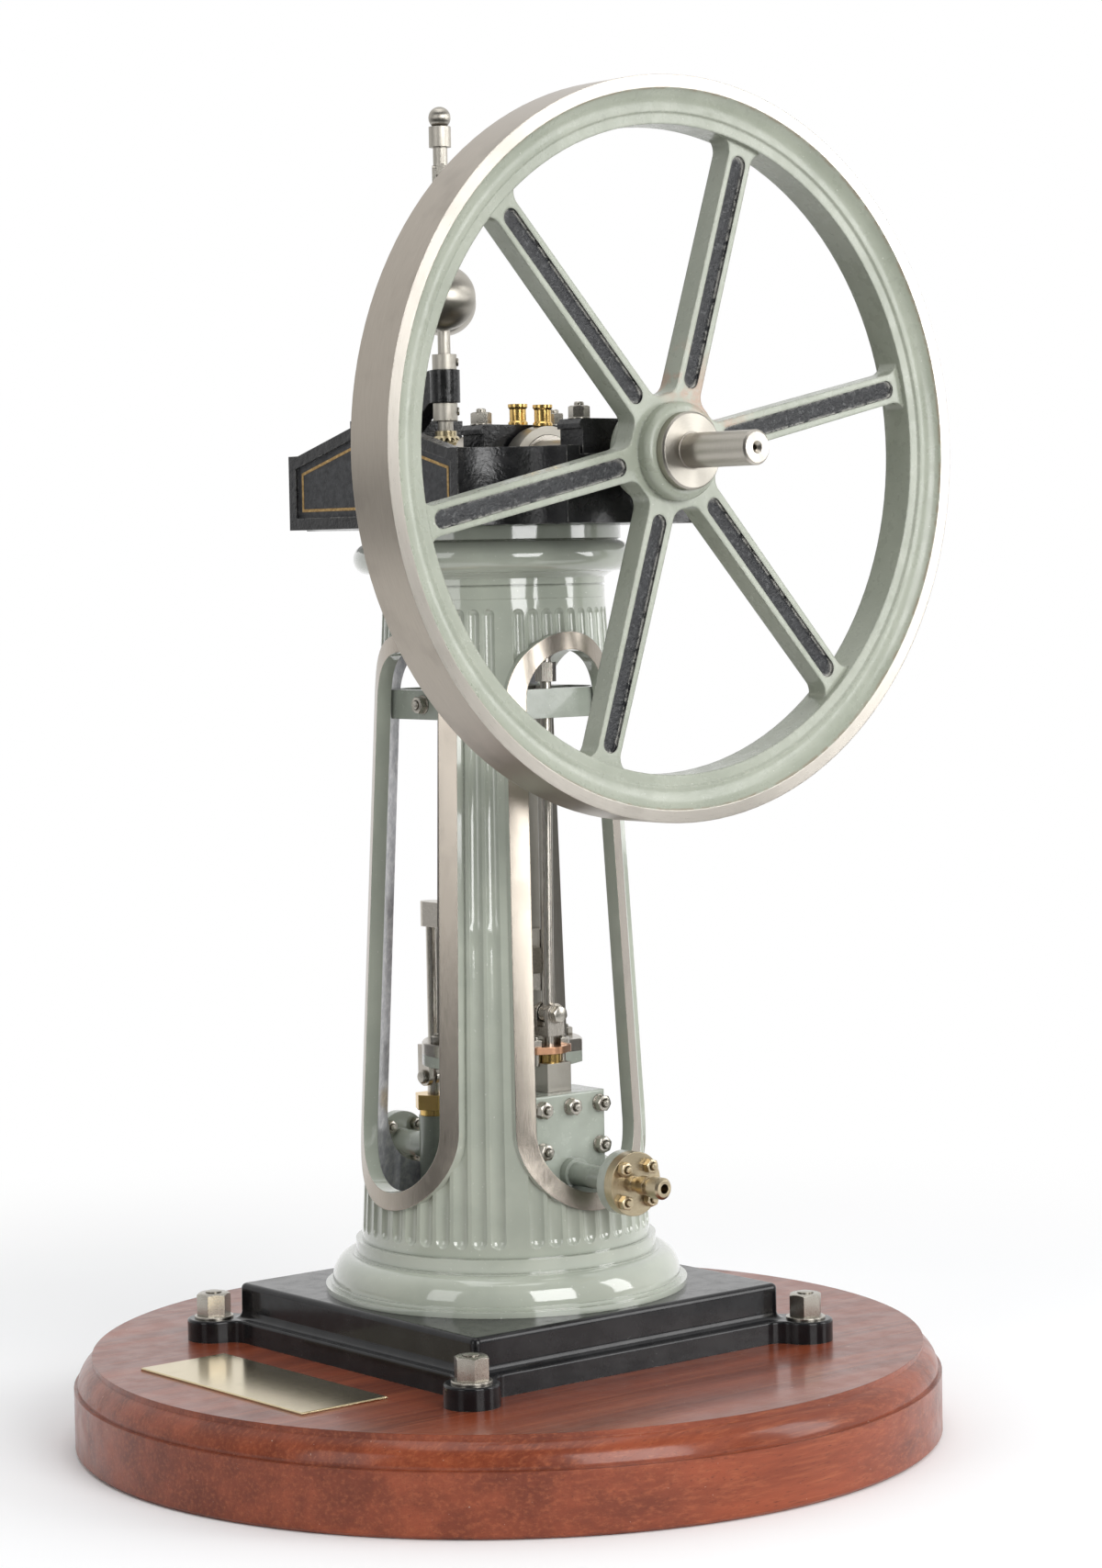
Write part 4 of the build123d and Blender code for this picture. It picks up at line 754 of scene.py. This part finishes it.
setScrew = {
    "radius": 1.15,
    "reach": 0.5,
    "sink": 0.5,
    "chamfer": 0.2,
    "socket": 0.4,
    "collarR": 3.4,
    "way": (0.7735, -0.6336, 0),
    "heights": (280.6, 294.1),
}
screwLong = setScrew["reach"] + setScrew["sink"]
screwLine = [
    (setScrew["radius"], 0),
    (setScrew["radius"], screwLong - setScrew["chamfer"]),
    (setScrew["radius"] - setScrew["chamfer"], screwLong),
    (setScrew["socket"], screwLong),
]
mesh = bmesh.new()
for z in setScrew["heights"]:
    spot = Vector((0, governorY, z)) + Vector(setScrew["way"]) * (setScrew["collarR"] - setScrew["sink"])
    addTurned(mesh, facing(spot, setScrew["way"]), screwLine, 20)
finishPiece("collar_screws", mesh, "governor_shaft", nutSteel)

strapBolt = {"flat": 2.6, "height": 1.4, "studR": 0.7, "studOut": 0.5, "turn": 8}
strapLug = {"x": 1.842, "z": 262.976, "out": 13.5, "half": 3.0}  # from the eccentric's centre
strapSpots = []
for side in (-1, 1):
    for end in (-1, 1):
        at = (strapLug["x"] + side * strapLug["out"], valveY, strapLug["z"] + end * strapLug["half"])
        strapSpots.append((at, (0, 0, end), strapBolt["turn"]))
nutSet("strap_bolts", "valve_rod", strapBolt, strapSpots)
print("fasteners made")


# bare brass plate on the plinth
plateSize = {"low": (-96.0, -36.8), "high": (-69.0, 37.0), "z": 25.0, "thick": 0.7, "edge": 0.25}


def plateRing(inset, z):
    x0, y0 = (v + inset for v in plateSize["low"])
    x1, y1 = (v - inset for v in plateSize["high"])
    return [(x0, y0, z), (x1, y0, z), (x1, y1, z), (x0, y1, z)]


plateRings = [
    plateRing(0, 0),
    plateRing(0, plateSize["thick"] - plateSize["edge"]),
    plateRing(plateSize["edge"], plateSize["thick"]),
]
mesh = bmesh.new()
skin(mesh, plateRings, Matrix.Translation((0, 0, plateSize["z"] * mm)))
finishPiece("name_plate", mesh, "engine_frame", plateBrass, 20)


# gold lining in the gables
lining = {
    "rise": 0.08,
    "width": 0.75,
    "inset": 1.7,
    "half": 34.3,
    "low": 251.7,
    "eave": 265.16,
    "apex": 274.58,
}


def gableLoop(inset):  # the gable's outline, moved in
    half, low = lining["half"] - inset, lining["low"] + inset
    slope = (lining["apex"] - lining["eave"]) / lining["half"]
    drop = inset * math.hypot(1, slope)
    eave = lining["eave"] - drop + slope * inset
    return [(-half, low), (half, low), (half, eave), (0, lining["apex"] - drop), (-half, eave)]


def addLining(name, side):
    outer, inner = lining["inset"], lining["inset"] + lining["width"]
    mesh = bmesh.new()
    rows = []
    for inset, rise in ((outer, 0), (outer, lining["rise"]), (inner, lining["rise"]), (inner, 0)):
        x = side * (panelSize["x"] + rise)
        rows.append([mesh.verts.new(Vector((x, y, z)) * mm) for y, z in gableLoop(inset)])
    for low, high in zip(rows, rows[1:] + rows[:1]):
        for i in range(len(low)):
            j = (i + 1) % len(low)
            mesh.faces.new((low[i], low[j], high[j], high[i]))
    finishPiece(name, mesh, "engine_frame", goldLine, 20)


addLining("gold_lining_left", -1)
addLining("gold_lining_right", 1)
print("plate and lining made")


# camera, at the photograph's place
cameraSet = {
    "at": (-0.6360, -0.8014, 0.2382),
    "right": (0.7735, -0.6336, -0.01876),
    "up": (0.05168, 0.03353, 0.9981),
    "forward": (0.6318, 0.7729, -0.05868),
    "sensor": 36,
    "focalPixels": 4081.8,
    "imageHeight": 1708,
}
forward = Vector(cameraSet["forward"])
camera = bpy.data.objects.new("camera", bpy.data.cameras.new("camera"))
pose = Matrix((Vector(cameraSet["right"]), Vector(cameraSet["up"]), -forward)).transposed().to_4x4()
pose.translation = Vector(cameraSet["at"])
camera.matrix_world = pose
camera.data.sensor_width = cameraSet["sensor"]
camera.data.lens = cameraSet["focalPixels"] * cameraSet["sensor"] / cameraSet["imageHeight"]
camera.data.clip_start, camera.data.clip_end = 0.05, 20
bpy.context.scene.collection.objects.link(camera)
bpy.context.scene.camera = camera
bpy.context.scene.view_settings.view_transform = "Standard"


# pale floor, white from a short way off
# it ends 0.3 m in front of the engine
floorSize = {"radius": 0.9, "shift": 0.58, "z": -0.0002, "whiteFrom": 0.17, "whiteTo": 0.5}
floorTones = (rgb(0.90, 0.905, 0.915), rgb(0.93, 0.93, 0.935))
floorMesh = bmesh.new()
bmesh.ops.create_circle(floorMesh, cap_ends=True, segments=96, radius=floorSize["radius"])
floorData = bpy.data.meshes.new("floor")
floorMesh.to_mesh(floorData)
floorMesh.free()
floor = bpy.data.objects.new("floor", floorData)
floor.location = Vector((forward.x, forward.y, 0)) * floorSize["shift"]
floor.location.z = floorSize["z"]
bpy.context.scene.collection.objects.link(floor)

floorFinish, tree, shader = startFinish("paleFloor")
spot = put(tree, "ShaderNodeTexCoord").outputs["Object"]
away = vector(tree, "LENGTH", vector(tree, "ADD", spot, floor.location)[0])["Value"]
far = remap(tree, away, floorSize["whiteFrom"], floorSize["whiteTo"])
join(tree, shader, "Base Color", tint(tree, remap(tree, noise(tree, spot, 3.0, 3), 0.3, 0.7), *floorTones))
join(tree, shader, "Roughness", 0.75)
paths = put(tree, "ShaderNodeLightPath").outputs
shiny = larger(tree, paths["Is Glossy Ray"], paths["Is Transmission Ray"])
seen = larger(tree, paths["Is Camera Ray"], shiny)
glow = put(tree, "ShaderNodeEmission", {"Color": rgb(1, 1, 1), "Strength": 1.0})
white = times(tree, far, seen)
mixed = put(tree, "ShaderNodeMixShader", {0: white, 1: shader.outputs[0], 2: glow.outputs[0]})
floorOutput = next(node for node in tree.nodes if node.type == "OUTPUT_MATERIAL")
join(tree, floorOutput, "Surface", mixed.outputs[0])
floorData.materials.append(floorFinish)


# studio room: white behind the engine, darker behind the camera and below the table
roomLight = {"dark": 0.13, "bright": 0.95, "belowTable": 0.42}
world = bpy.data.worlds.new("studio")
bpy.context.scene.world = world
world.use_nodes = True
tree = world.node_tree
tree.nodes.clear()
direction = put(tree, "ShaderNodeTexCoord").outputs["Generated"]
toward = vector(tree, "DOT_PRODUCT", direction, forward)["Value"]
height = put(tree, "ShaderNodeSeparateXYZ", {0: direction}).outputs[2]
behind = remap(tree, toward, -0.65, 0.35, roomLight["dark"], roomLight["bright"])
room = times(tree, behind, remap(tree, height, -0.035, 0.015, roomLight["belowTable"], 1.0))
paths = put(tree, "ShaderNodeLightPath").outputs
shiny = larger(tree, paths["Is Glossy Ray"], paths["Is Transmission Ray"])
backdrop = times(tree, shiny, remap(tree, toward, 0.2, 0.5))  # metal shows the white backdrop too
level = larger(tree, larger(tree, room, paths["Is Camera Ray"]), backdrop)
sky = put(tree, "ShaderNodeBackground", {"Color": rgb(1, 1, 1), "Strength": level})
put(tree, "ShaderNodeOutputWorld", {"Surface": sky.outputs[0]})


# soft studio lamps, all turned to the middle of the engine
lamps = {
    "softboxFront": {"azimuth": -7, "elevation": 15.5, "size": (0.66, 0.85), "power": 12.5},
    "softboxRight": {"azimuth": 43, "elevation": 15.5, "size": (0.36, 0.85), "power": 5.2},
    "softboxLeft": {"azimuth": -82, "elevation": 16, "size": (0.45, 0.80), "power": 2.6},
    "topPanel": {"azimuth": -40, "elevation": 80, "size": (0.9, 0.9), "power": 4.5},
}
lampTarget, lampFar = Vector((0, 0, 0.18)), 1.3
for name, lamp in lamps.items():
    light = bpy.data.lights.new(name, "AREA")
    light.shape = "RECTANGLE"
    light.size, light.size_y = lamp["size"]
    light.energy = lamp["power"]
    a, e = math.radians(lamp["azimuth"]), math.radians(lamp["elevation"])
    way = Vector((math.sin(a) * math.cos(e), -math.cos(a) * math.cos(e), math.sin(e)))
    holder = bpy.data.objects.new(name, light)
    holder.location = lampTarget + way * lampFar
    holder.rotation_mode = "QUATERNION"
    holder.rotation_quaternion = (-way).to_track_quat("-Z", "Y")
    bpy.context.scene.collection.objects.link(holder)
print("camera, floor and lamps set")
